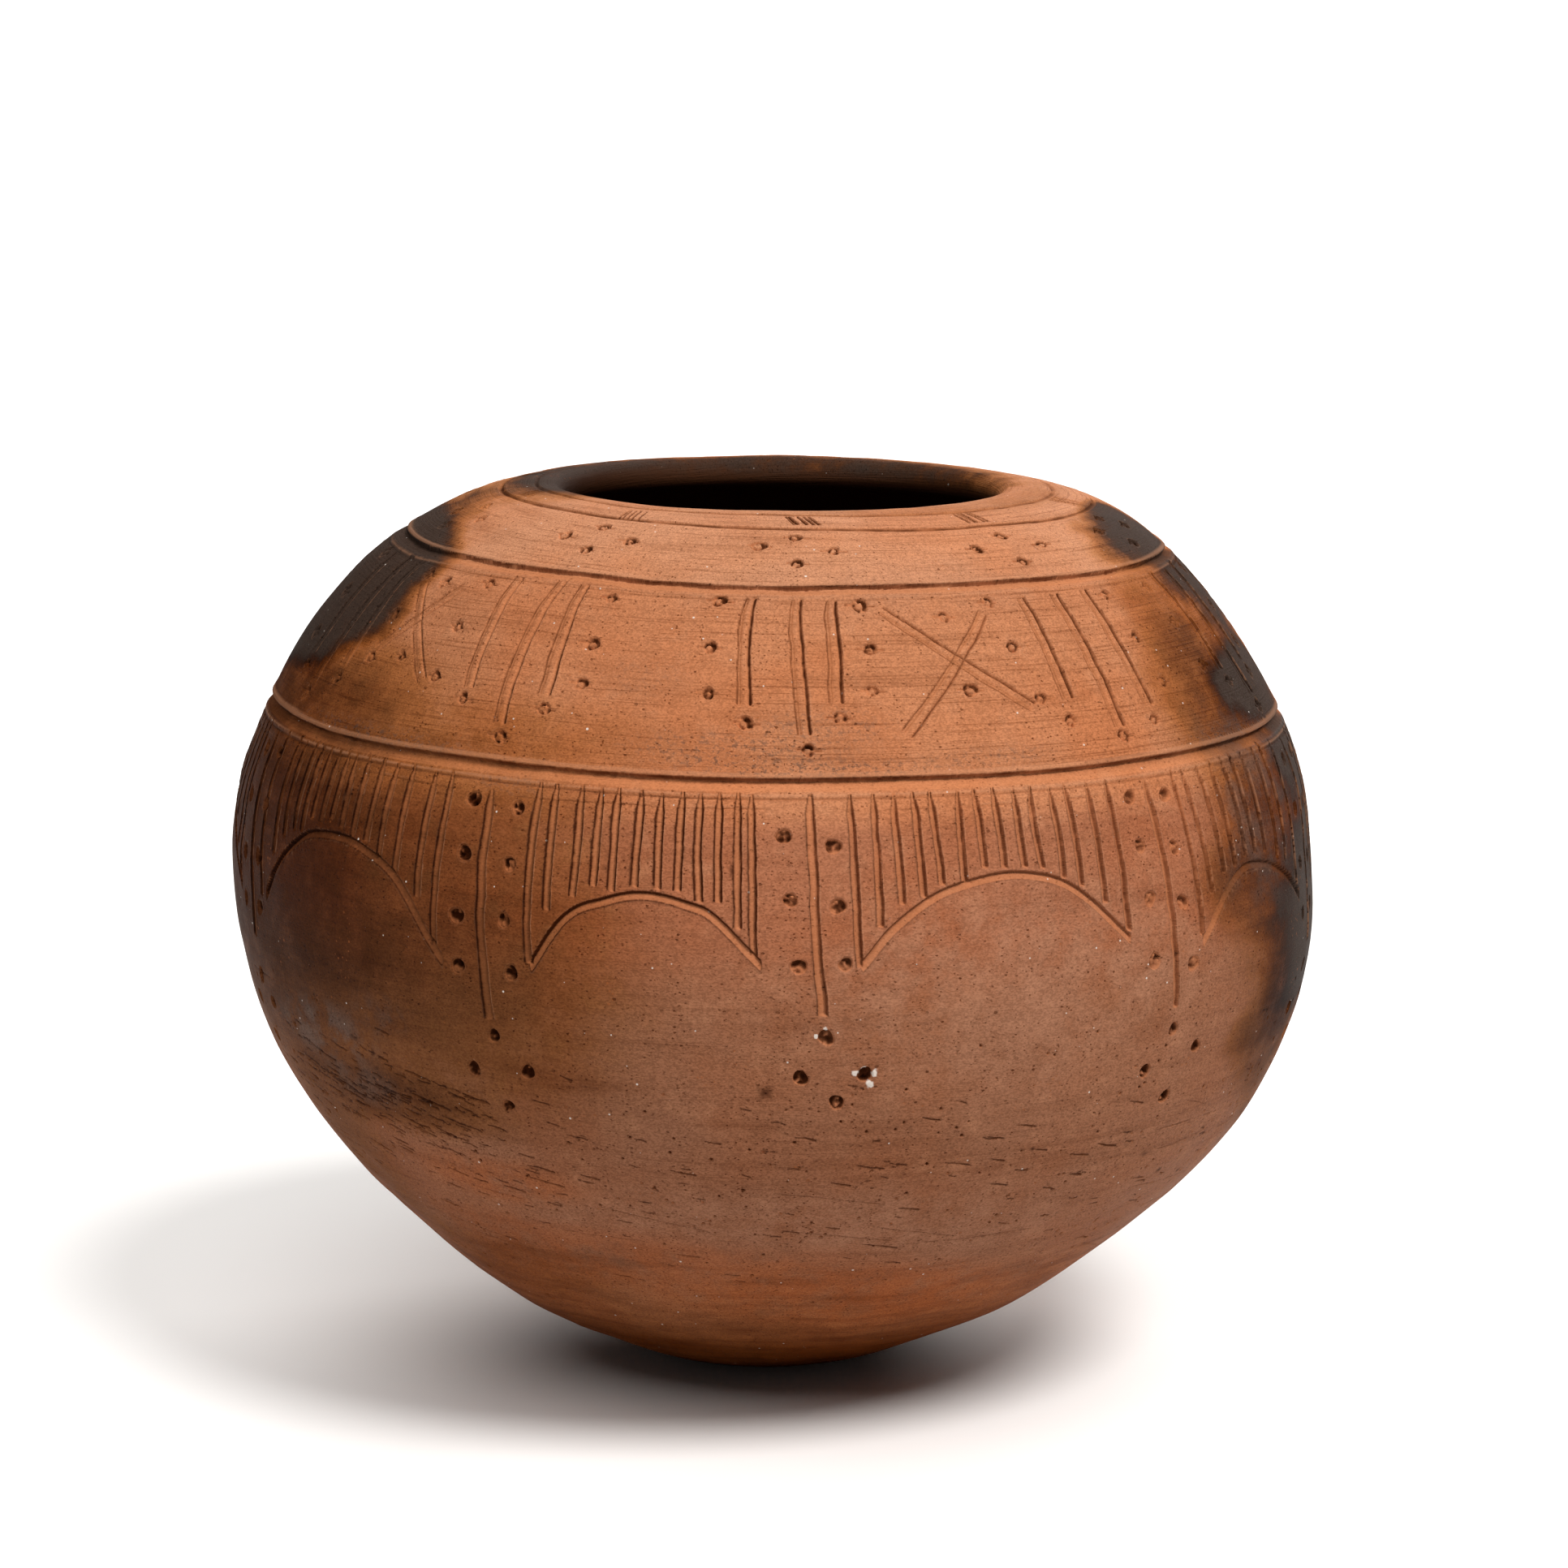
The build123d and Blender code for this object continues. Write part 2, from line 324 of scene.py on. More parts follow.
# Punched marks: a split reed on the shoulder, a stick with a broken end on the belly
# the plug is the clay left standing inside a reed, towards the lower left
dots = {
    "reed": {"radius": 1.9, "depth": 1.2, "plug": 0.5, "rough": 0.26, "burr": 0.12, "tails": 2.0,
             "crescent": 0.45, "cutShade": 0.9, "dark": 0.75},
    "stick": {"radius": 2.0, "depth": 1.35, "plug": 0, "rough": 0.42, "burr": 0.1, "tails": 0,
              "crescent": 0.3, "cutShade": 1.0, "dark": 0.8},
    "hole": {"radius": 1.95, "depth": 1.8, "plug": 0, "rough": 0.42, "burr": 0.08, "tails": 0,
             "crescent": 0.2, "cutShade": 1.0, "dark": 1.2},
    "pit": {"radius": 0.5, "depth": 0.45, "plug": 0, "rough": 0, "burr": 0, "tails": 0,
            "crescent": 0, "cutShade": 0.85, "dark": 1.0},
}
punch = {"spare": 1.45, "sizeSpread": 0.07, "depthSpread": 0.12,  # away is in radii from the middle
         "away": [0, 0.8, 0.98, 1.1, 1.4], "depth": [-1, -1, -0.06, 0, 0], "burr": [0, 0, 0, 1, 0],
         "oval": 0.08, "threeSided": 0.05, "deepTowards": 0.8, "chips": (0.9, 0.7),
         "depthWithin": (0.1, 1.15), "crumbs": 0.9, "grit": 0.3, "floorWithin": 0.82, "floorTop": -0.25,
         "plugShift": (0.02, 0.16), "plugEdge": (-0.05, 0.12), "plugHeight": -0.1, "plugTop": 0.05,
         "tailReach": (0.3, 1.0), "tailFrom": 0.6, "tailLift": 0.12, "tailHalf": 0.4, "tailDepth": 0.55,
         "shadeFrom": 0.15, "shadeOver": 0.45, "shadeSide": 0.25, "shadeCrumbs": 0.4, "shadeLeast": 0.15}
uncut = 9.0  # higher than any clay, so that the least of it and a cut is the cut


def tailsOf(dot, radius, right, up, rng):
    # short cuts where the split ends of the reed dragged out to both sides
    cuts = np.full(up.shape, uncut)
    for side in (-1, 1):
        reach = radius + dot["tails"] * rng.uniform(*punch["tailReach"])
        lift = (up + punch["tailLift"] * side * radius) / punch["tailHalf"]
        inside = (side * right > punch["tailFrom"] * radius) & (side * right < reach)
        tail = -punch["tailDepth"] * np.clip(1 - lift**2, 0, 1) * inside
        cuts = np.minimum(cuts, np.where(tail < 0, tail, uncut))
    return cuts


def pressDot(azimuth0, drawn0, dot, rng, size=1.0):
    perDegree = degreeAt(drawn0)
    radius = dot["radius"] * size * (1 + rng.normal(0, punch["sizeSpread"]))
    turn, otherTurn = rng.uniform(0, 2 * math.pi, 2)
    rows, columns, azimuth, drawn = cellsRound([(azimuth0, drawn0)], punch["spare"] * radius + dot["tails"])
    right, up = (azimuth - azimuth0) * perDegree, drawn - drawn0
    angle = np.arctan2(up, right)
    lumpy = 1 + punch["oval"] * np.sin(2 * angle + turn) + punch["threeSided"] * np.sin(3 * angle + otherTurn)
    away = np.hypot(right, up) / (radius * lumpy)
    depth = dot["depth"] * size * (1 + rng.normal(0, punch["depthSpread"]))
    lopsided = np.cos(angle - punch["deepTowards"]) - 1
    for chip, sides, shift in zip(punch["chips"], (3, 5), (turn, otherTurn)):
        lopsided = lopsided + chip * np.sin(sides * angle + shift)
    depth = depth * np.clip(1 + dot["crescent"] / 2 * lopsided, *punch["depthWithin"])
    height = np.interp(away, punch["away"], punch["depth"]) * depth
    height += np.interp(away, punch["away"], punch["burr"]) * dot["burr"]
    tileRows, tileColumns = rows + rng.integers(512), columns + rng.integers(512)
    crumbs = tileAt(crumble, tileRows, tileColumns)
    broken = dot["rough"] * (punch["crumbs"] * crumbs + punch["grit"] * tileAt(grit, tileRows, tileColumns))
    floor = np.clip(height + broken, None, punch["floorTop"])
    if dot["plug"]:
        shift = [radius * rng.uniform(*punch["plugShift"]) for _ in range(2)]
        aside = np.hypot(right + shift[0], up + shift[1]) / radius
        plug = np.interp(aside, dot["plug"] + np.array(punch["plugEdge"]), [punch["plugHeight"], -uncut])
        floor = np.maximum(floor, np.minimum(plug + broken, punch["plugTop"]))
    height = np.where(away < punch["floorWithin"], floor, height)
    if dot["tails"]:
        height = np.minimum(height, tailsOf(dot, radius, right, up, rng))
    press(rows, columns, height)
    # painted shade in the hole: darker where it is deep, towards its upper right and between the crumbs
    deep = np.clip((-height - punch["shadeFrom"]) / (punch["shadeOver"] * dot["depth"]), 0, 1)
    toSide = punch["shadeSide"] * (np.clip(right, -radius, radius) + up) / radius
    shaded = np.clip(dot["dark"] + toSide - punch["shadeCrumbs"] * crumbs, punch["shadeLeast"], 1)
    cutShade(rows, columns, dot["cutShade"] * deep * shaded)


# Rings, as sections up the wall: below the ring is negative
# the last list of each ring is painted shade in its grooves, strongest in their bottoms and under the upper
# edge of a cove
rings = {
    "shoulderCove": {
        "at": 0.0, "up": [-5.2, -4.6, -4.1, -3.7, -3.2, -2.6, -1.6, -0.5, 0.4, 1.0, 1.2, 1.5, 2.0, 3.0],
        "height": [0, 0.02, -0.34, 0.03, 0.18, 0.05, -0.5, -1, -1.35, -1.65, -0.2, 0.25, 0.28, 0],
        "cutShade": [0, 0, 0.7, 0, 0, 0, 0, 0, 0, 0.6, 1, 0.1, 0, 0]},
    "neckCove": {
        "at": 56.1, "up": [-5.0, -4.3, -3.9, -3.5, -3.0, -2.2, -1.0, 0.0, 0.5, 0.9, 1.1, 1.4, 1.9, 2.8],
        "height": [0, 0.02, -0.24, 0.03, 0.14, -0.02, -0.45, -0.9, -1.1, -1.3, -0.1, 0.22, 0.22, 0],
        "cutShade": [0, 0, 0.5, 0, 0, 0, 0, 0, 0, 0.5, 0.9, 0.1, 0, 0]},
    "rimLine": {"at": 83.5, "up": [-2.8, -2.0, -1.4, -0.4, 0.2, 0.6, 0.9, 1.6],
                "height": [0, 0.08, -0.05, -0.45, -0.65, -0.45, 0.10, 0],
                "cutShade": [0, 0, 0, 0.2, 0.8, 0.7, 0, 0]},
    "lipLine": {"at": 94.5, "up": [-2.2, -1.5, -1.0, -0.2, 0.3, 0.7, 1.4],
                "height": [0, 0.06, -0.10, -0.45, -0.40, 0.08, 0], "cutShade": [0, 0, 0.1, 0.7, 0.6, 0, 0]},
    "smearEdge": {"at": -6.6, "up": [-1.2, -0.5, -0.2, 0.15, 1.2],
                  "height": [0, 0.0, -0.26, 0.10, 0], "cutShade": [0, 0, 0.5, 0, 0]},
}


ringHand = {  # a size and a number of waves round the pot, or a size alone
    "wander": (0.22, 12), "uneven": (0.10, 30), "broken": (0.9, 40), "patchy": (0.15, 60),
    "ragged": 0.03, "crumbs": 0.05, "brokenDepth": 0.55, "brokenMost": 1.3, "dirt": 0.85, "shadeLeast": 0.4}


def aroundNoise(azimuth, kind, rng):
    # a few waves that close on themselves round the pot
    size, lobes = ringHand[kind]
    phases, sizes = rng.uniform(0, 2 * math.pi, lobes), rng.normal(0, 1, lobes)
    waves = [sizes[k] * np.sin((k + 2) * np.radians(azimuth) + phases[k]) for k in range(lobes)]
    return size * (sum(waves) / math.sqrt(lobes))


def pressRing(ring, rng, broken=False):
    ups = ring["up"]
    rows, columns, azimuth, drawn = cellsBetween(-180, 180, ring["at"] + ups[0] - 1, ring["at"] + ups[-1] + 1)
    wander = aroundNoise(azimuth, "wander", rng)
    offset = drawn - ring["at"] - wander - ringHand["ragged"] * tileAt(grit, rows, columns)
    depth = 1 + aroundNoise(azimuth, "uneven", rng)
    if broken:
        depth = ringHand["brokenDepth"] + aroundNoise(azimuth, "broken", rng)
        depth = np.clip(depth, 0, ringHand["brokenMost"])
    crumbs = 1 + ringHand["crumbs"] * tileAt(crumble, rows, columns)
    press(rows, columns, np.interp(offset, ups, ring["height"]) * depth * crumbs)
    # painted shade in the ring, patchy round the pot
    patchy = np.clip(ringHand["dirt"] + aroundNoise(azimuth, "patchy", rng), ringHand["shadeLeast"], 1)
    cutShade(rows, columns, np.interp(offset, ups, ring["cutShade"]) * patchy)


ringChance = np.random.default_rng(21)
for ringName, ring in rings.items():
    pressRing(ring, ringChance, broken=ringName == "smearEdge")
print("rings drawn:", ", ".join(rings))


# Ornament: ten groups round the pot. What the camera sees is listed one by one, the rest follows its measure.
groupAxes = {"edges": [-69.5, 75.5], "behind": [111.0, 147.0, 183.0, 219.0, 255.0]}
fringes = [  # edges, azimuth and lower end of each stroke, and the arch below
    {"left": (-66.0, -47.0), "right": (-35.0, -47.0),
     "strokes": [(-62.5, -34), (-60.5, -28.5), (-58.3, -26), (-56.6, -25.5), (-54.8, -21.5), (-53.1, -22),
                 (-51.4, -20.5), (-49.4, -22), (-47.4, -23.5), (-45.2, -24), (-43.0, -27), (-40.5, -30),
                 (-37.3, -35.5)],
     "arch": [(-64.5, -46.5), (-60.0, -34.0), (-55.5, -26.8), (-50.5, -25.0), (-45.5, -26.5), (-40.0, -33.0),
              (-34.3, -50.5)]},
    {"left": (-24.2, -48.5), "right": (-1.6, -43.0),
     "strokes": [(-22.2, -34.5), (-19.6, -30.5), (-17.5, -27.5), (-15.6, -28.5), (-13.3, -27), (-11.0, -27.3),
                 (-9.0, -27.5), (-6.9, -30), (-5.0, -30), (-3.1, -36.5)],
     "arch": [(-23.9, -49.0), (-20.0, -36.0), (-16.0, -31.2), (-12.3, -29.5), (-8.0, -31.4), (-5.0, -35.3),
              (-1.2, -45.5)]},
    {"left": (8.4, -46.0), "right": (37.6, -42.0),
     "strokes": [(10.6, -36), (12.8, -30.5), (15.0, -29), (17.0, -26), (19.3, -25.5), (21.5, -22.3),
                 (23.6, -22.5), (25.9, -22.8), (27.9, -23.5), (30.2, -26.5), (32.3, -29), (35.0, -34)],
     "arch": [(8.7, -46.0), (12.5, -35.8), (17.0, -28.5), (23.3, -24.9), (28.7, -26.8), (33.0, -33.0),
              (37.7, -44.5)]},
    {"left": (47.6, -46.5), "right": (69.8, -43.0),
     "strokes": [(49.7, -36.5), (52.3, -32), (54.5, -31), (56.7, -29.3), (58.8, -29.2), (61.0, -29.7),
                 (63.9, -32.4), (66.3, -34.5)],
     "arch": [(47.9, -48.5), (51.5, -39.0), (55.0, -33.5), (58.2, -32.3), (62.5, -34.5), (66.5, -39.0),
              (70.6, -46.0)]},
]
columnLines = [  # the line between two fringes, and the dots on both sides and under it
    {"line": [(-30.1, -6.5), (-29.2, -64.5)],
     "dots": [(-32, -9), (-32, -23), (-32.2, -39), (-32.3, -52), (-26.6, -10), (-26.6, -24.5), (-26.8, -38.7),
              (-26.2, -52)],
     "holes": [(-28.9, -69.3), (-31.9, -79.6), (-25.5, -78.3), (-28.5, -89)]},
    {"line": [(4.0, -3.1), (4.6, -58.4)],
     "dots": [(1.3, -13.5), (1.9, -29.5), (2.5, -46.2), (6.2, -16.1), (6.5, -31.1), (7.0, -45.7)],
     "holes": [(4.8, -64.6), (2.3, -75.9), (8.6, -74.9), (5.9, -82.9)]},
    {"line": [(42.8, -4.9), (43.8, -64.6)],
     "dots": [(40.2, -8.3), (40.3, -21.2), (40.7, -35.1), (40.8, -51.5), (45.5, -9), (45.0, -23.1),
              (45.1, -37.4), (46.2, -53.9)],
     "holes": [(44.1, -71.2), (48.5, -78), (41.0, -82), (45.2, -91.4)]},
]
tallies = [  # three strokes, then the dots at their sides and feet
    {"strokes": [((-38.1, 52.8), (-36.9, 20.0)), ((-30.9, 53.7), (-31.1, 11.6)),
                 ((-27.0, 53.1), (-26.5, 20.5))],
     "dots": [(-42.8, 50.0), (-43.4, 36.0), (-43.0, 21.5), (-22.2, 50.2), (-22.4, 35.8), (-22.4, 24.3),
              (-37.2, 16.5), (-30.6, 7.7), (-26.1, 16.3)]},
    {"strokes": [((-2.9, 52.6), (-2.8, 21.4)), ((3.3, 52.4), (3.8, 13.4)), ((8.1, 51.7), (7.5, 22.1))],
     "dots": [(-7.1, 51.5), (-7.4, 37.0), (-7.2, 24.0), (11.7, 50.5), (12.2, 37.0), (11.7, 25.0),
              (-2.8, 16.0), (4.0, 8.9), (7.7, 17.6)]},
    {"strokes": [((35.4, 51.0), (36.0, 20.3)), ((41.3, 51.1), (41.9, 11.1)), ((47.1, 51.3), (47.6, 15.7))],
     "dots": [(29.8, 50.0), (30.8, 36.0), (32.2, 20.8), (51.0, 49.0), (51.5, 34.8), (52.0, 21.0),
              (35.2, 13.8), (42.0, 8.1), (47.6, 11.2)]},
]
crosses = [
    {"strokes": [((14.6, 48.8), (30.8, 18.8)), ((28.4, 46.4), (15.1, 12.9))],
     "dots": [(22.8, 46.1), (23.5, 24.4)]},
    {"strokes": [((-55.8, 46.5), (-45.1, 20.0)), ((-46.9, 47.2), (-56.5, 26.0))],
     "dots": [(-51.6, 48.0), (-50.9, 25.3)]},
]
neckDots = [
    [(-76.6, 69.3), (-69.9, 75.2), (-63.4, 70.5), (-71.0, 64.6)],
    [(-38.4, 70.9), (-33.1, 77.3), (-25.5, 71.8), (-31.6, 66.2)],
    [(-3.5, 73.3), (2.4, 77.9), (8.6, 71.6), (2.9, 66.1)],
    [(32.8, 71.2), (39.8, 77.1), (46.3, 71.2), (39.4, 64.3)],
    [(64.7, 72.9), (71.8, 77.9), (77.0, 71.4), (70.9, 64.5)],
]
rimHatches = [  # azimuth, height, lean and weight
    (-31.4, 87.6, 0.4, 0.6), (3.7, 89.7, 0.8, 1.3), (39.4, 89.8, 0.0, 1.5),
]
looseScratches = [((16.0, 14.9), (19.0, 14.8)), ((22.4, 14.6), (25.8, 15.7)), ((-53.0, 6.0), (-47.8, 7.6))]
measure = {  # degrees beside a group's axis, and heights from the shoulder cove
    "fringeStrokes": (10, 13), "archFoot": (-50, -45), "archCrown": (-31, -25), "archBend": 2.2,
    "archPlaces": [-1, -0.68, -0.34, 0, 0.34, 0.68, 1], "strokeGap": 3, "edgeGap": 4.4,
    "columnTop": -5.0, "columnEnd": (-65, -58), "columnSide": 2.7, "columnDots": (-9, -23, -38, -52),
    "holes": ((0, -70), (-3.2, -79), (3.2, -78), (0, -88)),
    "tallyTop": 52, "tallies": ((-5.6, 20), (0, 12), (5.2, 19)), "tallySide": 10.2, "tallyDots": (50, 36, 23),
    "tallyEdges": [-67.5, 72.5], "tallyFoot": 4.2, "crosses": (94.0, 166.0, 238.0),
    "crossDots": ((0, 46), (0.5, 24)),
    "crossStrokes": (((-7.5, 48), (7.5, 18)), ((6.5, 47), (-7, 14))),
    "neckDots": ((-7, 71), (0, 77), (7, 71), (0, 65)), "rimHatch": (89.5, 1.2, 1.0),
}


def nearby(point, spread, rng):
    return (point[0] + rng.normal(0, spread), point[1] + rng.normal(0, 2 * spread))


def fringeBetween(left, right, rng):
    count = int(rng.integers(*measure["fringeStrokes"]))
    foot, crown = rng.uniform(*measure["archFoot"]), rng.uniform(*measure["archCrown"])
    middle, half = (left + right) / 2, (right - left) / 2

    def archAt(s):
        return crown + (foot - crown) * abs(s) ** measure["archBend"]

    strokes = []
    for s in [-1 + 2 * (k + 1) / (count + 1) for k in range(count)]:
        azimuth = middle + half * s + rng.normal(0, 0.25)
        strokes.append((azimuth, archAt(s) + measure["strokeGap"] + rng.normal(0, 1)))
    arch = [(middle + half * s, archAt(s)) for s in measure["archPlaces"]]
    return {"left": (left, foot), "right": (right, foot + rng.uniform(0, 3)),
            "strokes": strokes, "arch": arch}


def beside(axis, places, spread, rng):
    return [nearby((axis + aside, height), spread, rng) for aside, height in places]


def bothSides(aside, heights):
    return [(side * aside, height) for side in (-1, 1) for height in heights]


def columnAt(axis, rng):
    dots = beside(axis, bothSides(measure["columnSide"], measure["columnDots"]), 0.25, rng)
    holes = beside(axis, measure["holes"], 0.3, rng)
    line = [(axis - 0.2, measure["columnTop"]), (axis + 0.4, rng.uniform(*measure["columnEnd"]))]
    return {"line": line, "dots": dots, "holes": holes}


def tallyAt(axis, rng):
    strokes = [(nearby((axis + at, measure["tallyTop"]), 0.3, rng), nearby((axis + at, low), 0.4, rng))
               for at, low in measure["tallies"]]
    dots = beside(axis, bothSides(measure["tallySide"], measure["tallyDots"]), 0.4, rng)
    dots += [(end[0] + rng.normal(0, 0.3), end[1] - measure["tallyFoot"]) for start, end in strokes]
    return {"strokes": strokes, "dots": dots}


def crossAt(axis, rng):
    strokes = [beside(axis, ends, 0.4, rng) for ends in measure["crossStrokes"]]
    return {"strokes": strokes, "dots": beside(axis, measure["crossDots"], 0.4, rng)}


measureChance = np.random.default_rng(8)
behind, edges = groupAxes["behind"], groupAxes["edges"]  # at the edges of what the camera sees
fringeEnds = [edges[1]] + behind + [edges[0] + 360]
for left, right in zip(fringeEnds, fringeEnds[1:]):
    fringes.append(fringeBetween(left + measure["edgeGap"], right - measure["edgeGap"], measureChance))
columnLines += [columnAt(axis, measureChance) for axis in behind + edges]
tallies += [tallyAt(axis, measureChance) for axis in behind + measure["tallyEdges"]]
crosses += [crossAt(axis, measureChance) for axis in measure["crosses"]]
neckDots += [beside(axis, measure["neckDots"], 0.5, measureChance) for axis in behind]
rimHatches += [(axis, *measure["rimHatch"]) for axis in behind + edges]

hand = {"edgeTop": (-0.3, -3.2), "edgeWeight": 1.1, "strokeTop": (-0.2, -3.0), "topSpread": (0.15, 0.5),
        "bow": {"fringe": 0.25, "column": 0.3, "tally": 0.4, "cross": 0.2},
        "hatches": (-2, -1, 0, 1, 2), "hatchStep": 1.15, "hatchSpread": 0.2, "hatchEnds": (3.2, -3.0)}
strokeChance = np.random.default_rng(14)


def drawBowed(start, end, toolName):
    bow = strokeChance.normal(0, hand["bow"][toolName])
    pressStroke(start, end, tools[toolName], strokeChance, bow=bow)


def punchAll(spots, dotName):
    for spot in spots:
        pressDot(*spot, dots[dotName], strokeChance)


for fringe in fringes:
    for azimuth, low in (fringe["left"], fringe["right"]):
        top = (azimuth + hand["edgeTop"][0], hand["edgeTop"][1])
        pressStroke(top, (azimuth, low), tools["fringe"], strokeChance, weight=hand["edgeWeight"])
    for azimuth, low in fringe["strokes"]:
        aside, above = strokeChance.normal(0, hand["topSpread"])
        top = (azimuth + hand["strokeTop"][0] + aside, hand["strokeTop"][1] + above)
        drawBowed(top, (azimuth, low), "fringe")
    pressArch(fringe["arch"], tools["arch"], strokeChance)
for column in columnLines:
    drawBowed(*column["line"], "column")
    punchAll(column["dots"], "stick")
    punchAll(column["holes"], "hole")
for toolName, groups in (("tally", tallies), ("cross", crosses)):
    for start, end in [ends for group in groups for ends in group["strokes"]]:
        drawBowed(start, end, toolName)
for spots in [group["dots"] for group in tallies + crosses] + neckDots:
    punchAll(spots, "reed")
for azimuth, height, lean, weight in rimHatches:
    above, below = [height + end for end in hand["hatchEnds"]]
    for k in hand["hatches"]:
        at = azimuth + k * hand["hatchStep"] + strokeChance.normal(0, hand["hatchSpread"])
        pressStroke((at - lean, above), (at + lean, below), tools["hatch"], strokeChance, weight=weight)
for start, end in looseScratches:
    pressStroke(start, end, tools["scratch"], strokeChance)
print("ornament pressed:", len(fringes), "fringes,", len(tallies), "tallies,", len(crosses), "crosses")


# Wear of the burnished bottom: pits, gashes dragged level, and long thin scratches
wear = {"pits": 1300, "gashes": 560, "scratches": 60, "low": -185.0, "most": -100, "high": -66.0,
        "gashBelt": (-112, 16), "dragged": 0.3, "draggedAt": (-48, 10), "draggedBelt": (-95, 7),
        "gashSlope": 0.22, "gashLength": (2.0, 1.3), "gashShortest": 0.8, "gashWeight": (0.5, 1.3),
        "pitSize": (0.45, 1.1), "scratchBelt": (-122, 20), "scratchReach": (6, 18), "scratchFall": (3, 3),
        "scratchWeight": 0.8}
wearChance = np.random.default_rng(31)
for _ in range(wear["pits"]):
    spot = (wearChance.uniform(-180, 180), wearChance.triangular(wear["low"], wear["most"], wear["high"]))
    pressDot(*spot, dots["pit"], wearChance, size=wearChance.uniform(*wear["pitSize"]))
for _ in range(wear["gashes"]):
    azimuth, low = wearChance.uniform(-180, 180), wearChance.normal(*wear["gashBelt"])
    if wearChance.uniform() < wear["dragged"]:  # this share lies where the pot was dragged on its left
        azimuth, low = wearChance.normal(*wear["draggedAt"]), wearChance.normal(*wear["draggedBelt"])
    length = wearChance.gamma(*wear["gashLength"]) + wear["gashShortest"]
    end = (azimuth + length / degreeAt(low), low - wear["gashSlope"] * length)
    weight = wearChance.uniform(*wear["gashWeight"])
    pressStroke((azimuth, low), end, tools["gash"], wearChance, weight=weight)
for _ in range(wear["scratches"]):
    azimuth, low = wearChance.uniform(-180, 180), wearChance.normal(*wear["scratchBelt"])
    reach, fall = wearChance.uniform(*wear["scratchReach"]), wearChance.normal(*wear["scratchFall"])
    end = (azimuth + reach, low - fall)
    pressStroke((azimuth, low), end, tools["scratch"], wearChance, weight=wear["scratchWeight"])
print("wear pressed:", wear["pits"], "pits and", wear["gashes"], "gashes")


# White residue left by something the pot once held, a thin crust beside two of the holes
# azimuth, height, half width and half height of each patch
residue = [(4.7, -62.2, 0.6, 0.7), (3.8, -64.2, 0.4, 0.4), (7.7, -74.5, 0.7, 0.55), (8.6, -73.2, 0.8, 0.35),
           (9.6, -74.9, 0.55, 0.9), (9.1, -77.6, 0.75, 0.65)]
crustHand = {"height": 0.14, "reach": 2.5, "full": 1.6, "crumbs": 0.35}
crust = np.zeros_like(relief)
for azimuth0, drawn0, halfWidth, halfHeight in residue:
    rows, columns, azimuth, drawn = cellsRound([(azimuth0, drawn0)], crustHand["reach"])
    away = np.hypot((azimuth - azimuth0) * degreeAt(drawn0) / halfWidth, (drawn - drawn0) / halfHeight)
    patch = np.clip(crustHand["full"] - away + crustHand["crumbs"] * tileAt(crumble, rows, columns), 0, 1)
    spot = np.ix_(rows, columns)
    crust[spot] = np.maximum(crust[spot], patch)
    relief[spot] += crustHand["height"] * patch


# Wall mesh: a coarse net, split along its longest edges until it follows what was pressed
net = {"columns": 300, "rowHeight": 3.2, "passes": 14,
       "azimuth": [0, 40, 85, 100], "finest": [0.4, 0.42, 0.62, 0.95], "error": [0.07, 0.08, 0.12, 0.2],
       "deep": 0.25, "deepFinest": [0.36, 0.38, 0.52, 0.5],  # a cut missed by this much is followed closer
       "rise": [-70, -62, -8, -5, 4, 7, 49, 52, 61, 64], "across": [0.8, 1, 1, 0.7, 0.7, 1, 1, 0.7, 0.7, 1],
       "up": [1, 0.55, 0.55, 1, 1, 0.55, 0.55, 1, 1, 1]}  # strokes run upright, rings run level
joints = ["foot", "mould", "belly", "shoulder", "neck", "rim", "throat"]


def wrapTurn(turn):
    return (turn + math.pi) % (2 * math.pi) - math.pi


def between(field, x, y, eased=False):
    # the field between its cells, whose columns close on themselves round the pot
    rows, columns = field.shape
    left, low = np.floor(x).astype(int), np.clip(np.floor(y).astype(int), 0, rows - 2)
    fx, fy = x - left, np.clip(y - low, 0, 1)
    if eased:
        fx, fy = fx * fx * (3 - 2 * fx), fy * fy * (3 - 2 * fy)
    left, beside = left % columns, (left + 1) % columns
    below = field[low, left] * (1 - fx) + field[low, beside] * fx
    above = field[low + 1, left] * (1 - fx) + field[low + 1, beside] * fx
    return below * (1 - fy) + above * fy


def onSheet(field, turn, rise):
    return between(field, (turn + math.pi) / (2 * math.pi) * sheet["columns"],
                   (rise - riseOf["foot"]) / sheet["rowStep"])


def reliefAt(turn, rise):
    return onSheet(relief, turn, rise)


def turnsRound(columns):
    return np.arange(columns) / columns * 2 * math.pi - math.pi


def gridCells(rows, columns):
    # the corners of each cell of a grid that closes round the pot, and whether the cell is an odd one
    row, column = np.meshgrid(np.arange(rows - 1), np.arange(columns), indexing="ij")
    a, b = row * columns + column, row * columns + (column + 1) % columns
    return a, b, b + columns, a + columns, ((row + column) % 2 == 1)[..., None]


def coarseNet():
    levels = []
    for lower, upper in zip(joints, joints[1:]):
        count = max(2, round((riseOf[upper] - riseOf[lower]) / net["rowHeight"]))
        levels.append(np.linspace(riseOf[lower], riseOf[upper], count + 1)[:-1])
    levels = np.concatenate(levels + [[riseOf["throat"]]])
    a, b, c, d, odd = gridCells(len(levels), net["columns"])
    first = np.where(odd, np.stack([a, b, d], -1), np.stack([a, b, c], -1))
    second = np.where(odd, np.stack([b, c, d], -1), np.stack([a, c, d], -1))
    faces = np.concatenate([first.reshape(-1, 3), second.reshape(-1, 3)])
    return np.tile(turnsRound(net["columns"]), len(levels)), np.repeat(levels, net["columns"]), faces


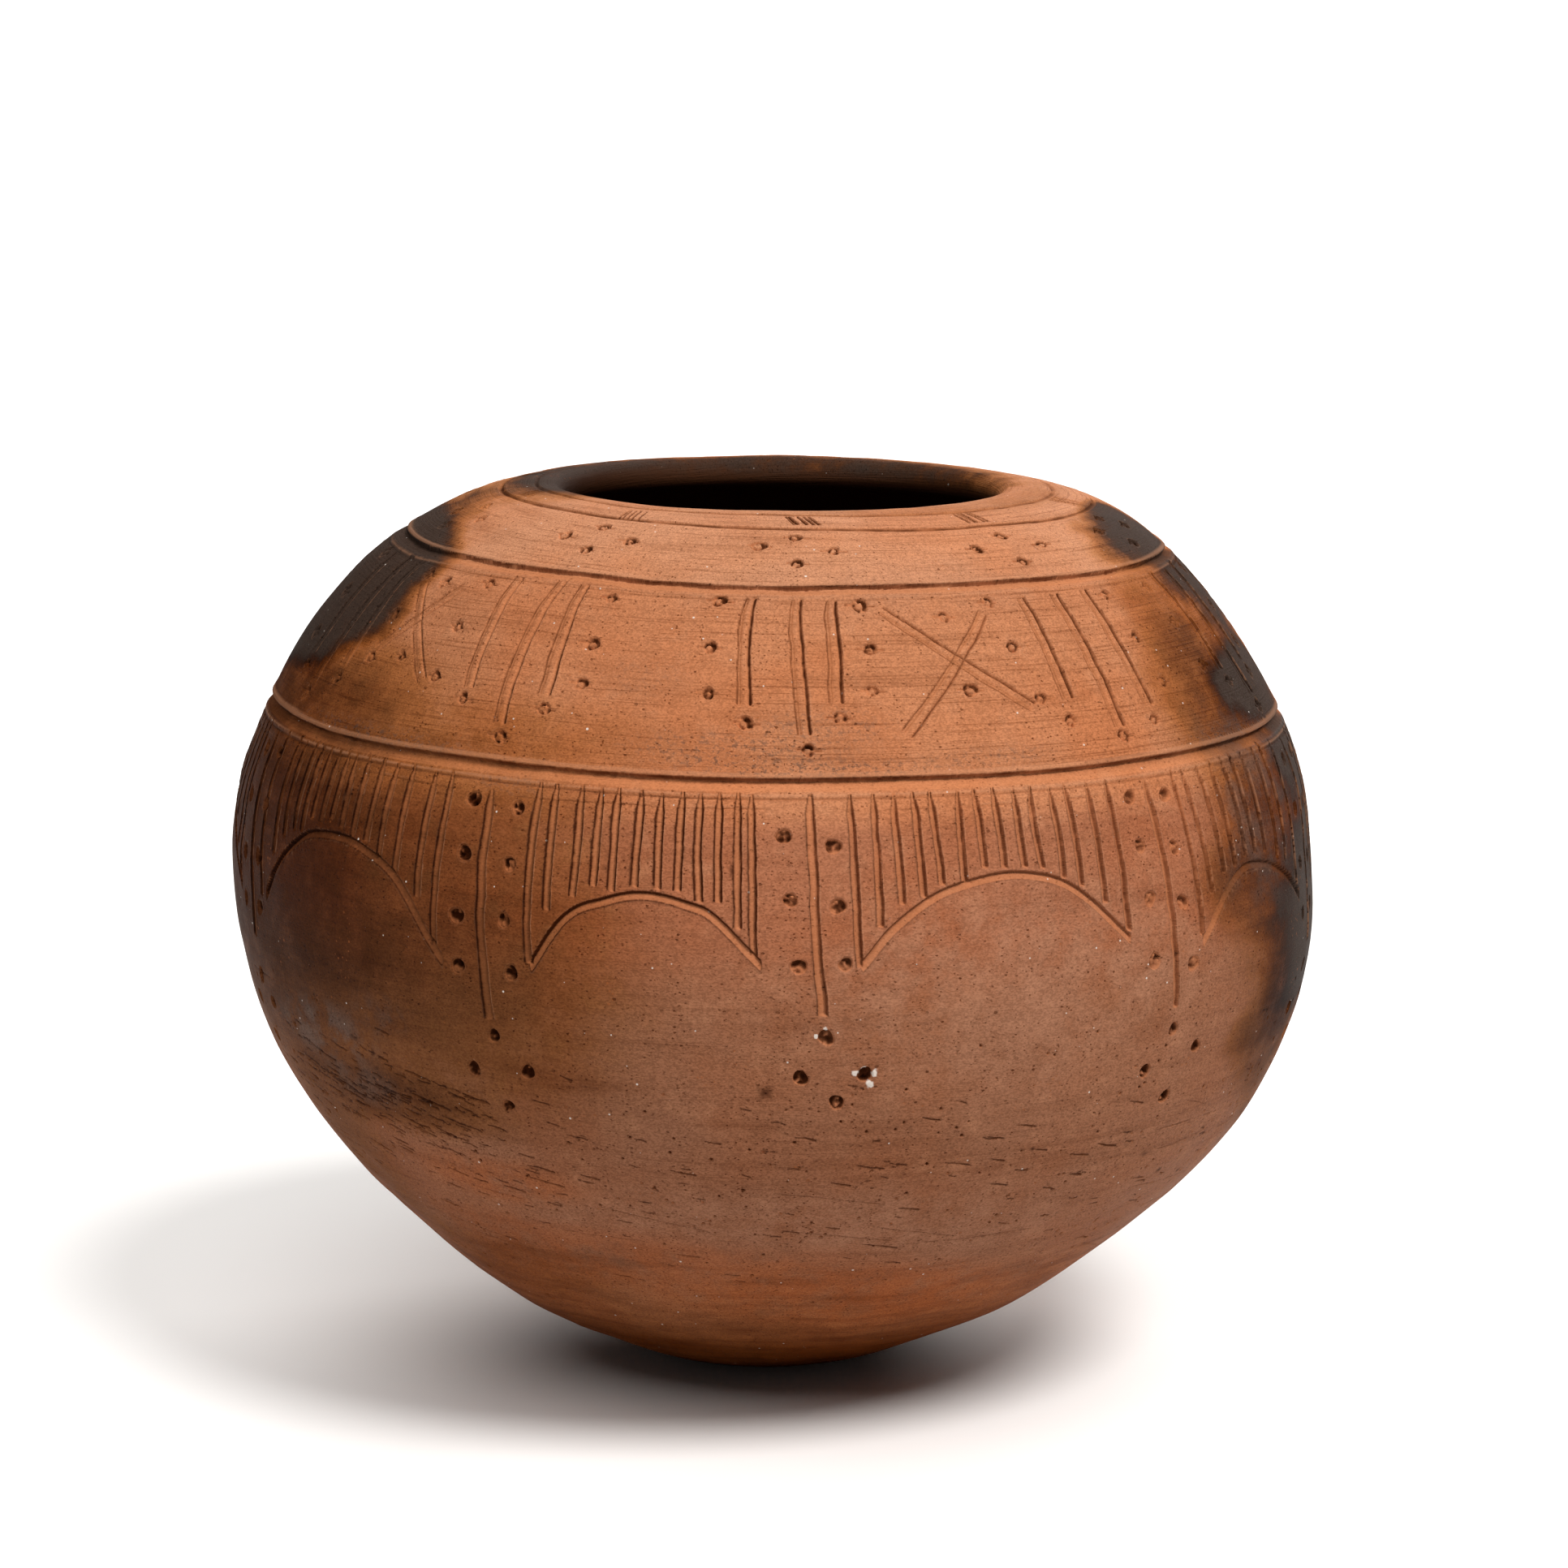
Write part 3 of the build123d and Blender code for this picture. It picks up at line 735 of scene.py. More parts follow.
def cutFaces(faces, sideOf, longest, middle):
    # each face is cut from the middle of its longest side, then through its other cut sides
    order = (longest[:, None] + np.arange(3)) % 3
    v0, v1, v2 = np.take_along_axis(faces, order, 1).T
    m0, m1, m2 = middle[np.take_along_axis(sideOf, order, 1)].T
    cut, right, left = m0 >= 0, m1 >= 0, m2 >= 0
    return np.concatenate([
        np.c_[v0, v1, v2][~cut], np.c_[m0, v1, v2][cut & ~right],
        np.c_[m0, v1, m1][cut & right], np.c_[m0, m1, v2][cut & right], np.c_[v0, m0, v2][cut & ~left],
        np.c_[v0, m0, m2][cut & left], np.c_[m2, m0, v2][cut & left]])


def missedAlong(turn, rise, swing, lift):
    # how far the pressed wall lies from each straight side
    start, end = reliefAt(turn, rise), reliefAt(wrapTurn(turn + swing), rise + lift)
    miss = np.zeros(len(turn))
    for t in (0.25, 0.5, 0.75):
        seen = reliefAt(wrapTurn(turn + swing * t), rise + lift * t)
        miss = np.maximum(miss, np.abs(seen - start * (1 - t) - end * t))
    return miss


def splitNet(turn, rise, faces):
    for _ in range(net["passes"]):
        count = len(turn)
        sides = np.concatenate([faces[:, [0, 1]], faces[:, [1, 2]], faces[:, [2, 0]]])
        sides.sort(axis=1)
        keys, sideOf = np.unique(sides[:, 0].astype(np.int64) * count + sides[:, 1], return_inverse=True)
        sideOf = sideOf.reshape(3, -1).T
        a, b = keys // count, keys % count
        swing, lift = wrapTurn(turn[b] - turn[a]), rise[b] - rise[a]
        at = rise[a] + lift / 2
        length = np.hypot(swing * radiusAt(at) * np.interp(at, net["rise"], net["across"]),
                          lift * np.interp(at, net["rise"], net["up"]))
        miss = missedAlong(turn[a], rise[a], swing, lift)
        azimuth = np.degrees(np.abs(turn[a]))  # finest where the photograph looks straight on
        finest, deepFinest, error = [np.interp(azimuth, net["azimuth"], net[key])
                                     for key in ("finest", "deepFinest", "error")]
        split = (miss > error) & (length > np.where(miss > net["deep"], deepFinest, finest))
        if not split.any():
            break
        longest = length[sideOf].argmax(1)
        longSide = np.take_along_axis(sideOf, longest[:, None], 1)[:, 0]
        marked = -1
        while split.sum() != marked:  # a face is only ever cut through its longest side first
            marked = split.sum()
            split[longSide[split[sideOf].any(1)]] = True
        middle = np.full(len(keys), -1)
        middle[split] = count + np.arange(split.sum())
        turn = np.r_[turn, wrapTurn(turn[a] + swing / 2)[split]]
        rise = np.r_[rise, (rise[a] + lift / 2)[split]]
        faces = cutFaces(faces, sideOf, longest, middle)
    return turn, rise, faces


def softNoise(turn, rise, size, seed):
    # smooth random swells
    around = max(4, round(2 * math.pi * 120 / size))
    rows = int((riseOf["throat"] - riseOf["foot"]) / size) + 3
    knots = np.random.default_rng(seed).normal(0, 1, (rows, around))
    x, y = (turn + math.pi) / (2 * math.pi) * around, (rise - riseOf["foot"]) / size
    return between(knots, x, y, eased=True)


# Hand-built, so the axis wanders a little and the mouth sits off the middle
bent = {"height": [0, 15, 29, 41, 53, 74, 85, 97, 120, 150, 225, 240, 250],
        "shift": [-1.2, -1.2, -0.4, 1.1, 2.3, 2.4, 2.0, 1.8, 1.6, 0, 0, 2.6, 2.9],
        "mouthTilt": 0.6, "tiltFrom": 212.0}


def standUp(radius, turn, height):
    # points of the wall, on its wandering axis and with the tilt of its mouth
    x, y = radius * np.sin(turn), -radius * np.cos(turn)
    rising = np.clip((height - bent["tiltFrom"]) / (lipHeight - bent["tiltFrom"]), 0, 1)
    tilt = math.tan(math.radians(bent["mouthTilt"])) * rising * rising
    return np.c_[x + np.interp(height, bent["height"], bent["shift"]), y, height - tilt * x]


turn, rise, faces = splitNet(*coarseNet())
radius, height, outRadius, outHeight = wallAt(rise)
pressed = reliefAt(turn, rise)
level = np.interp(rise, [riseOf["foot"], riseOf["foot"] + clay["flatFoot"], riseOf["neck"], riseOf["rim"]],
                  [0, 1, 1, clay["trueRim"]])
raised = pressed + level * (clay["lumps"] * softNoise(turn, rise, clay["lumpSize"], 5)
                            + clay["dents"] * softNoise(turn, rise, clay["dentSize"], 6))
outerPoints = standUp(radius + outRadius * raised, turn, height + outHeight * raised)


def pointNormals(points, faces):
    corners = points[faces]
    square = np.cross(corners[:, 1] - corners[:, 0], corners[:, 2] - corners[:, 0])
    total = [sum(np.bincount(faces[:, k], square[:, i], len(points)) for k in range(3)) for i in range(3)]
    total = np.stack(total, 1)
    return total / np.maximum(np.linalg.norm(total, axis=1), 1e-12)[:, None]


outerNormals = pointNormals(outerPoints, faces)
faceRise = rise[faces].mean(1)
print("wall net:", len(turn), "points,", len(faces), "faces")


# Marks of the fire: azimuth, height on the wall, half width, half height, softness and strength
fireMarks = {
    "soot": [
        (-80, 50, 46, 18, 0.2, 1.0), (-78, 36, 46, 16, 0.3, 1.0), (-86, 24, 44, 14, 0.5, 0.95),
        (-86, 70, 30, 8, 0.5, 0.5), (-86, 90, 34, 12, 0.6, 0.65), (-88, 99, 32, 7, 0.6, 0.75),
        (-118, 100, 40, 14, 0.6, 0.75), (180, 107, 90, 9, 0.6, 0.8), (80, -50, 46, 32, 0.6, 1.0),
        (79, -8, 27, 13, 0.5, 0.9), (76, 14, 34, 12, 0.4, 1.0), (84, 38, 28, 14, 0.8, 0.85),
        (74, 62, 26, 7, 0.6, 0.85), (77, 70, 24, 11, 0.7, 0.9), (80, 79, 14, 6, 0.6, 0.7),
        (80, 50, 26, 8, 0.5, 0.7), (168, -24, 74, 44, 0.5, 0.85), (140, -112, 52, 26, 0.6, 0.6),
        (-132, -70, 46, 34, 0.6, 0.5), (112, 34, 26, 16, 0.6, 0.55), (-150, 62, 36, 14, 0.6, 0.6),
        (205, 20, 40, 20, 0.6, 0.5),
    ],
    "haze": [
        # the haze at -86, -20 darkens the left edge of the belly as painted shade
        (-66, -40, 78, 54, 0.8, 0.95), (-26, -48, 38, 44, 0.9, 0.48), (-86, -20, 44, 50, 0.6, 0.8),
        (-76, 8, 34, 12, 0.7, 0.5), (57, -80, 9, 7, 0.6, 0.35), (-28, 30, 50, 34, 0.9, 0.10),
        (-28, 97, 60, 6, 0.7, 0.16), (-56, 13, 28, 13, 0.6, 0.35), (-45, -94, 34, 9, 0.6, 0.42),
        (-62, -122, 26, 26, 0.7, 0.42), (-42, -158, 40, 20, 0.7, 0.35), (-24, -203, 20, 8, 0.7, 0.4),
        (66, -25, 34, 50, 0.6, 0.70), (54, -36, 18, 11, 0.7, 0.45), (62, 18, 32, 18, 0.6, 0.5),
        (60, 42, 16, 18, 0.6, 0.45), (70, -74, 22, 14, 0.6, 0.45), (66, -84, 20, 16, 0.6, 0.55),
        (74, -105, 22, 16, 0.7, 0.4), (60, 97, 60, 7, 0.7, 0.3), (-22, 10, 34, 8, 0.7, 0.2),
        (180, -20, 140, 60, 0.7, 0.55),
    ],
    # painted sheen: lighter, greyer patches on the front of the pot
    "paintedSheen": [
        (26, -55, 66, 26, 0.5, 0.8), (8, -128, 70, 16, 0.6, 0.9), (20, 56, 50, 10, 0.5, 0.35),
    ],
    "bloom": [
        (-55, -79, 22, 8, 0.5, 0.9), (-44, -70, 10, 5, 0.5, 0.4), (-50, -92, 16, 6, 0.5, 0.5),
        (62, -18, 24, 26, 0.6, 0.5), (150, -60, 40, 12, 0.5, 0.5),
    ],
    "flush": [
        (14, -163, 44, 15, 0.5, 1.0), (-10, -150, 60, 14, 0.5, 0.75), (-34, -116, 24, 8, 0.5, 0.8),
        (-28, -138, 40, 8, 0.5, 0.5), (120, -150, 60, 18, 0.5, 0.8), (-140, -150, 60, 18, 0.5, 0.7),
    ],
    "scum": [
        (-6, 9, 24, 4, 0.5, 0.8), (6, 15, 18, 6, 0.5, 0.6), (3, 4, 34, 2.5, 0.5, 0.9),
        (-15, 28, 12, 6, 0.5, 0.4), (24, 6, 20, 3, 0.5, 0.6), (-28, -4, 12, 3, 0.5, 0.5),
        (62, 3, 30, 3, 0.5, 0.7), (-50, 3, 40, 3, 0.5, 0.7), (150, 6, 60, 5, 0.5, 0.7),
        (-130, 8, 60, 5, 0.5, 0.7),
    ],
}


def spread(patches, turn, rise):
    left = np.ones(len(turn))
    for azimuth, at, halfWidth, halfHeight, softness, strength in patches:
        side = wrapTurn(turn - math.radians(azimuth)) * radiusAt(rise)
        reach = np.hypot(side / halfWidth, (rise - at) / halfHeight)
        fade = np.clip((1 + softness - reach) / (2 * softness), 0, 1)
        left *= 1 - strength * fade * fade * (3 - 2 * fade)
    return 1 - left


drawnRise = ornamentRise(np.degrees(turn), rise)
shadeRound = {  # how strong the painted shade in the cuts is, round the pot
    "azimuth": [-60, -30, -20, -8, 2, 30, 42, 60, 80, 100],
    "belly": [1.15, 1.05, 1.25, 1.25, 0.7, 0.68, 0.5, 0.6, 0.7, 1],
    "shoulder": [0.95, 0.95, 0.92, 0.92, 0.9, 0.8, 0.82, 0.82, 0.9, 1],
}
shadeZones = {"belly": (-74, 8, -3, 2), "shoulder": (4, 2, 51, 2)}  # foot and top, each with its soft edge
shadeShare = np.ones(len(turn))
for zone, (foot, footEdge, top, topEdge) in shadeZones.items():
    within = np.clip((drawnRise - foot) / footEdge, 0, 1) * np.clip((top - drawnRise) / topEdge, 0, 1)
    shadeShare += within * (np.interp(np.degrees(turn), shadeRound["azimuth"], shadeRound[zone]) - 1)
outerMarks = {"drawn": drawnRise, "cut": np.maximum(-pressed, 0), "burr": np.maximum(pressed, 0),
              "cutShade": onSheet(cutShadeSheet, turn, rise) * shadeShare, "crust": onSheet(crust, turn, rise)}
throat = {"darkFrom": 0.38, "higherLeft": 0.26, "darkest": 0.8, "throatShadeShift": 0.06, "throatShadeOver": 0.3}
outerMarks.update({mark: spread(patches, turn, drawnRise) for mark, patches in fireMarks.items()})
throatDepth = np.clip((rise - riseOf["lip"]) / (riseOf["throat"] - riseOf["lip"]), 0, 1)
# brown smoke darkens the throat; painted shade takes the dark further up on the left and darkens both sides
# of the throat
darkFrom = throat["darkFrom"] - throat["higherLeft"] * np.clip(-np.sin(turn), 0, 1)
outerMarks["inside"] = throat["darkest"] * np.sqrt(np.clip((throatDepth - darkFrom) / (1 - darkFrom), 0, 1))
outerMarks["throatShade"] = np.sin(turn) ** 2
for depth in (throatDepth - darkFrom + throat["throatShadeShift"], 1 - throatDepth):
    outerMarks["throatShade"] *= np.clip(depth / throat["throatShadeOver"], 0, 1)


# Shader sums: an output socket that stands in Python expressions
class Wire:
    def __init__(self, tree, socket=None):
        self.tree = tree
        self.socket = socket

    def node(self, kind, settings=None, inputs=None, output=0):
        made = self.tree.nodes.new(kind)
        for name, value in (settings or {}).items():
            setattr(made, name, value)
        for key, value in (inputs or {}).items():
            if isinstance(value, Wire):
                value.into(made, key)
            else:
                made.inputs[key].default_value = value
        return Wire(self.tree, made.outputs[output])

    def into(self, node, key):
        self.tree.links.new(self.socket, node.inputs[key])

    def sum(self, operation, first, second):
        return self.node("ShaderNodeMath", {"operation": operation}, {0: first, 1: second})

    def __add__(self, other):
        return self.sum("ADD", self, other)

    def __radd__(self, other):
        return self.sum("ADD", other, self)

    def __sub__(self, other):
        return self.sum("SUBTRACT", self, other)

    def __rsub__(self, other):
        return self.sum("SUBTRACT", other, self)

    def __mul__(self, other):
        return self.sum("MULTIPLY", self, other)

    def __rmul__(self, other):
        return self.sum("MULTIPLY", other, self)

    def fade(self, low, high):
        # 0 below low, 1 above high, soft between; the other way round when low is the larger
        return self.node("ShaderNodeMapRange", {"interpolation_type": "SMOOTHSTEP"},
                         {"Value": self, "From Min": low, "From Max": high})

    def mark(self, name):
        return self.node("ShaderNodeAttribute", {"attribute_name": name}, output="Fac")

    def tint(self, factor, first, second, how="MIX"):
        return self.node("ShaderNodeMix", {"data_type": "RGBA", "blend_type": how},
                         {0: factor, 6: first, 7: second}, 2)

    def grain(self, where, size, detail=2.0, roughness=0.5):
        return self.node("ShaderNodeTexNoise", None,
                         {"Vector": where, "Scale": 1 / size, "Detail": detail, "Roughness": roughness})

    def specks(self, where, spacing, largest):
        # scattered dots of all sizes up to the largest, in millimetres
        near = self.node("ShaderNodeTexVoronoi", None, {"Vector": where, "Scale": 1 / spacing}, "Distance")
        chance = Wire(self.tree, near.socket.node.outputs["Color"])
        return (chance * largest - near * spacing).fade(-0.02, 0.14)

    def stretch(self, where, factors):
        return self.node("ShaderNodeVectorMath", {"operation": "MULTIPLY"}, {0: where, 1: factors})


def colour(red, green, blue):
    # a colour as a paint chart gives it, 0 to 255
    def linear(value):
        value /= 255
        return value / 12.92 if value <= 0.04045 else ((value + 0.055) / 1.055) ** 2.4
    return (linear(red), linear(green), linear(blue), 1.0)


clayColours = {  # laid over what is below
    "belly": colour(147, 99, 73), "fringe": colour(158, 100, 71), "shoulder": colour(183, 120, 83),
    "neck": colour(190, 132, 97), "pale": colour(190, 134, 100), "rust": colour(158, 88, 46),
    "flush": colour(160, 86, 44), "paintedSheen": colour(160, 112, 86), "smoke": colour(78, 46, 28),
    "fresh": colour(198, 124, 80), "soot": colour(58, 46, 39), "bloom": colour(112, 100, 94),
    "scum": colour(62, 54, 50), "chalk": colour(222, 210, 198),
}
clayShades = {  # multiplied with what is below
    "filth": (0.17, 0.12, 0.09, 1), "lined": (0.66, 0.60, 0.55, 1), "warmed": (0.94, 0.78, 0.64, 1),
    "scorched": (1.0, 0.86, 0.58, 1), "smoked": (0.15, 0.125, 0.10, 1), "worn": (0.74, 0.68, 0.63, 1),
    "dirt": (0.36, 0.27, 0.21, 1), "bottom": (0.48, 0.34, 0.14, 1), "earthy": (1.18, 1.05, 0.85, 1),
    "grainDark": (0.80, 0.77, 0.75, 1), "grainLight": (1.14, 1.13, 1.12, 1),
}
finishes = {
    "wiped_clay": {"roughness": 0.74, "specular": 0.015, "wipe": 0.30, "lines": 0.85, "grain": 0.12},
    "burnished_clay": {"roughness": 0.58, "specular": 0.018, "wipe": 0.10, "lines": 0.35, "grain": 0.09},
}


def firedClay(name, finish):
    material = bpy.data.materials.new(name)
    material.use_nodes = True
    tree = material.node_tree
    surface = tree.nodes["Principled BSDF"]
    start = Wire(tree)
    metres = start.node("ShaderNodeTexCoord", output="Object")
    place = start.stretch(metres, (1 / mm, 1 / mm, 1 / mm))
    drawn, cut, burr, dirt, crust, inside, throatShade = [
        start.mark(mark) for mark in ("drawn", "cut", "burr", "cutShade", "crust", "inside", "throatShade")]
    soot, haze, paintedSheen, bloom, flush, scum = [start.mark(mark) for mark in fireMarks]

    # level coordinates: round the pot, and up the wall along the rings
    flat = start.stretch(place, (1, 1, 0))
    facing = start.node("ShaderNodeVectorMath", {"operation": "NORMALIZE"}, {0: flat})
    upright = start.node("ShaderNodeCombineXYZ", None, {"Z": drawn})
    around = start.stretch(facing, (bellyRadius, bellyRadius, 0))
    level = start.node("ShaderNodeVectorMath", {"operation": "ADD"}, {0: around, 1: upright})
    wipeLines = start.grain(start.stretch(level, (0.012, 0.012, 1)), 0.55, 3.0, 0.7)
    wipeBands = start.grain(start.stretch(level, (0.05, 0.05, 1)), 4.0, 3.0, 0.6)
    drag = start.grain(start.stretch(level, (0.22, 0.22, 1)), 9.0, 4.0, 0.6)

    blotch = start.grain(place, 46.0, 3.0, 0.55)
    mottle = start.grain(place, 9.0, 5.0, 0.65)
    grain = start.grain(start.stretch(level, (0.7, 0.7, 1)), 1.1, 3.0, 0.75)
    fine = start.grain(start.stretch(level, (0.6, 0.6, 1)), 0.42, 1.0, 0.6)
    drift = start.grain(place, 15.0, 3.0)
    ruffle = start.node("ShaderNodeTexNoise", None, {"Vector": place, "Scale": 2.4, "Detail": 1.0}, "Color")
    squat = start.node("ShaderNodeVectorMath", {"operation": "ADD"},
                       {0: start.stretch(level, (0.65, 0.65, 1)), 1: start.stretch(ruffle, (0.5, 0.5, 0.5))})
    dust = start.specks(squat, 0.95, 0.36)
    pits = start.specks(squat, 1.8, 0.44)
    rust = start.specks(place, 1.3, 0.50) * drift.fade(0.58, 0.70)
    chalk = start.specks(place, 4.6, 0.42)

    # smoke browns the clay before it blackens it, and soot ends in a ragged edge
    low = drawn.fade(-128.0, -160.0)
    hazy = (haze + (mottle - 0.5) * haze * 0.8 + (drag - 0.5) * haze * 0.5).fade(0.0, 1.0)
    edge = soot.fade(0.0, 0.25)
    ragged = soot + (mottle - 0.5) * edge * 0.70 + (drag - 0.5) * edge * 0.40 + (grain - 0.5) * edge * 0.20
    speckle = (grain * 0.45 + fine * 0.55).fade(0.39, 0.61)
    shades = dict(clayShades, speckled=start.tint(speckle, clayShades["grainDark"], clayShades["grainLight"]))

    layers = [
        # body colour, zone by zone up the wall
        (drawn.fade(-62.0, -36.0), "fringe"),
        (drawn.fade(-15.0, -5.0), "shoulder"),
        (drawn.fade(52.0, 60.0), "neck"),
        (blotch.fade(0.38, 0.68) * 0.7, "warmed"),
        (mottle.fade(0.50, 0.76) * 0.35, "pale"),
        (wipeBands.fade(0.48, 0.72) * 0.5, "worn"),
        (wipeLines.fade(0.54, 0.64) * finish["lines"], "lined"),
        (drag.fade(0.52, 0.78) * 0.5, "worn"),
        # painted sheen, broken up by the mottle
        (paintedSheen * mottle.fade(0.30, 0.62) * 0.75, "paintedSheen"),
        (drawn.fade(-140.0, -176.0), "earthy"),
        # the bottom made darker and browner, as painted shade where the wall turns under
        (drawn.fade(-155.0, -212.0), "bottom"),
        (flush * mottle.fade(0.28, 0.60) * 0.65, "flush"),
        (low * drag.fade(0.44, 0.60) * 0.5, "lined"),
        (low * wipeBands.fade(0.46, 0.66) * 0.45, "worn"),
        # fire
        (hazy.fade(0.0, 0.5), "scorched"),
        (hazy, "smoked"),
        (ragged.fade(0.02, 0.40), "scorched"),
        (ragged.fade(0.02, 0.80), "smoked"),
        (ragged.fade(0.50, 0.95) * 0.92, "soot"),
        (bloom * mottle.fade(0.40, 0.62) * 0.45, "bloom"),
        (scum * grain.fade(0.48, 0.62) * 0.75, "scum"),
        # grit in the clay: pits drawn out level, dark grains in drifts, a few white ones
        (1.0, "speckled"),
        (rust * 0.5, "rust"),
        (dust * (0.50 + drift.fade(0.62, 0.40) * 0.5), "dirt"),
        (pits * drift.fade(0.30, 0.64) * 0.9, "dirt"),
        (chalk * 0.8, "chalk"),
        # fresh clay on the burrs, a painted highlight on the shallow slopes of the cuts, painted shade in the
        # cuts, brown smoke inside with painted shade at the sides of the throat
        (burr.fade(0.03, 0.16) * 0.30, "pale"),
        # painted highlight on the shallow slopes of the cuts, less where there is soot or haze
        (cut.fade(0.10, 0.30) * 0.42 * (1 - soot) * (1 - hazy * 0.85), "fresh"),
        # painted shade in the cuts
        (dirt.fade(0.05, 0.90), "filth"),
        (crust.fade(0.2, 0.7) * 0.9, "chalk"),
        (inside.fade(0.02, 0.60) * 0.97, "smoke"),
        # painted shade at both sides of the throat
        (throatShade * 0.85, "smoked"),
    ]
    body = clayColours["belly"]
    for share, hue in layers:
        if hue in clayColours:
            body = start.tint(share, body, clayColours[hue])
        else:
            body = start.tint(share, body, shades[hue], "MULTIPLY")
    body.into(surface, "Base Color")

    shine = finish["roughness"] + (mottle - 0.5) * 0.22 + (grain - 0.5) * 0.20 + cut.fade(0.1, 0.5) * 0.2
    shine.into(surface, "Roughness")
    surface.inputs["Specular IOR Level"].default_value = finish["specular"]

    height = wipeLines * finish["wipe"] + grain * finish["grain"] + fine * 0.07 + mottle * 0.06
    height = height - pits * 0.14 - dust * 0.05
    bump = start.node("ShaderNodeBump", None, {"Height": height, "Distance": mm, "Strength": 1.0})
    bump.into(surface, "Normal")
    return material


materials = {slot: firedClay(slot, finish) for slot, finish in finishes.items()}
print("materials made:", ", ".join(materials))


# Pieces: each is closed by its own inside and by the bevels where the courses lap
innerNet = {"columns": 120, "rowHeight": 4.5, "floorFrom": 2.0, "throatLap": 2.0, "lapDepth": 3.2,
            "lumps": 0.6, "lumpSize": 22.0, "lumpShift": 250, "lumpsFrom": 60, "lumpsOver": 40}
bands = {"outside": 0, "inside": 1, "lower": 2, "upper": 3, "floor": 4, "foot": 5}  # of the unrolled map
bakeMap = {"margin": 5.0, "outside": (0.01, 0.60), "inside": (0.64, 0.22), "lower": (0.88, 0.04),
           "upper": (0.94, 0.04), "discAcross": (0.2, 0.4), "discUp": 0.96, "discScale": 0.0006}
pieces = {
    "mouldedBowl": {
        "node": "base_bowl", "from": "foot", "to": "mould", "slot": "burnished_clay"},
    "lowerBellyCourse": {
        "node": "lower_belly_course", "from": "mould", "to": "belly", "slot": "burnished_clay"},
    "upperBellyCourse": {
        "node": "upper_belly_course", "from": "belly", "to": "shoulder", "slot": "burnished_clay"},
    "shoulderCourse": {
        "node": "shoulder_course", "from": "shoulder", "to": "neck", "slot": "wiped_clay"},
    "neckCourse": {
        "node": "neck_course", "from": "neck", "to": "rim", "slot": "wiped_clay"},
    "rimCoil": {
        "node": "rim_coil", "from": "rim", "to": "throat", "slot": "wiped_clay"},
}


def innerJoint(name):
    if name == "foot":
        return 0.0
    if name == "throat":
        return innerOf["lip"] - innerNet["throatLap"]
    return innerOf[name] - clay["jointLap"]


def innerPatch(low, high):
    count = max(2, round((high - low) / innerNet["rowHeight"]))
    levels = np.linspace(max(low, innerNet["floorFrom"]), high, count + 1)
    turn = np.tile(turnsRound(innerNet["columns"]), len(levels))
    run = np.repeat(levels, innerNet["columns"])
    radius, height = [np.interp(run, innerRise, innerOutline[:, k]) for k in (0, 1)]
    lumps = innerNet["lumps"] * softNoise(turn, run - innerNet["lumpShift"], innerNet["lumpSize"], 9)
    lumps = lumps * np.clip((run - innerNet["lumpsFrom"]) / innerNet["lumpsOver"], 0, 1)
    a, b, c, d, odd = gridCells(len(levels), innerNet["columns"])
    corners = [np.stack(face, -1).reshape(-1, 3) for face in ((a, c, b), (a, d, c))]
    return turn, run, standUp(radius + lumps, turn, height), np.concatenate(corners)


def lapRing(joint):
    # where a course's bevel starts, below the deepest ring drawn along the joint
    turn, depth = turnsRound(innerNet["columns"]), innerNet["lapDepth"]
    radius, height, outRadius, outHeight = wallAt(np.full(len(turn), riseOf[joint]))
    return turn, standUp(radius - depth * outRadius, turn, height - depth * outHeight)


def ringFaces(outer, outerTurn, inner, innerTurn, top):
    # a strip of faces between two rings of points that needn't match
    outer, inner = outer[np.argsort(outerTurn)], inner[np.argsort(innerTurn)]
    outerTurn, innerTurn = np.sort(outerTurn), np.sort(innerTurn)
    made, i, j = [], 0, 0
    while i < len(outer) or j < len(inner):
        nextOuter = outerTurn[i + 1] if i + 1 < len(outer) else outerTurn[0] + 2 * math.pi
        nextInner = innerTurn[j + 1] if j + 1 < len(inner) else innerTurn[0] + 2 * math.pi
        a, b = outer[i % len(outer)], inner[j % len(inner)]
        if j >= len(inner) or (i < len(outer) and nextOuter <= nextInner):
            made.append((a, outer[(i + 1) % len(outer)], b))
            i += 1
        else:
            made.append((a, inner[(j + 1) % len(inner)], b))
            j += 1
    made = np.array(made)
    return made if top else made[:, ::-1]


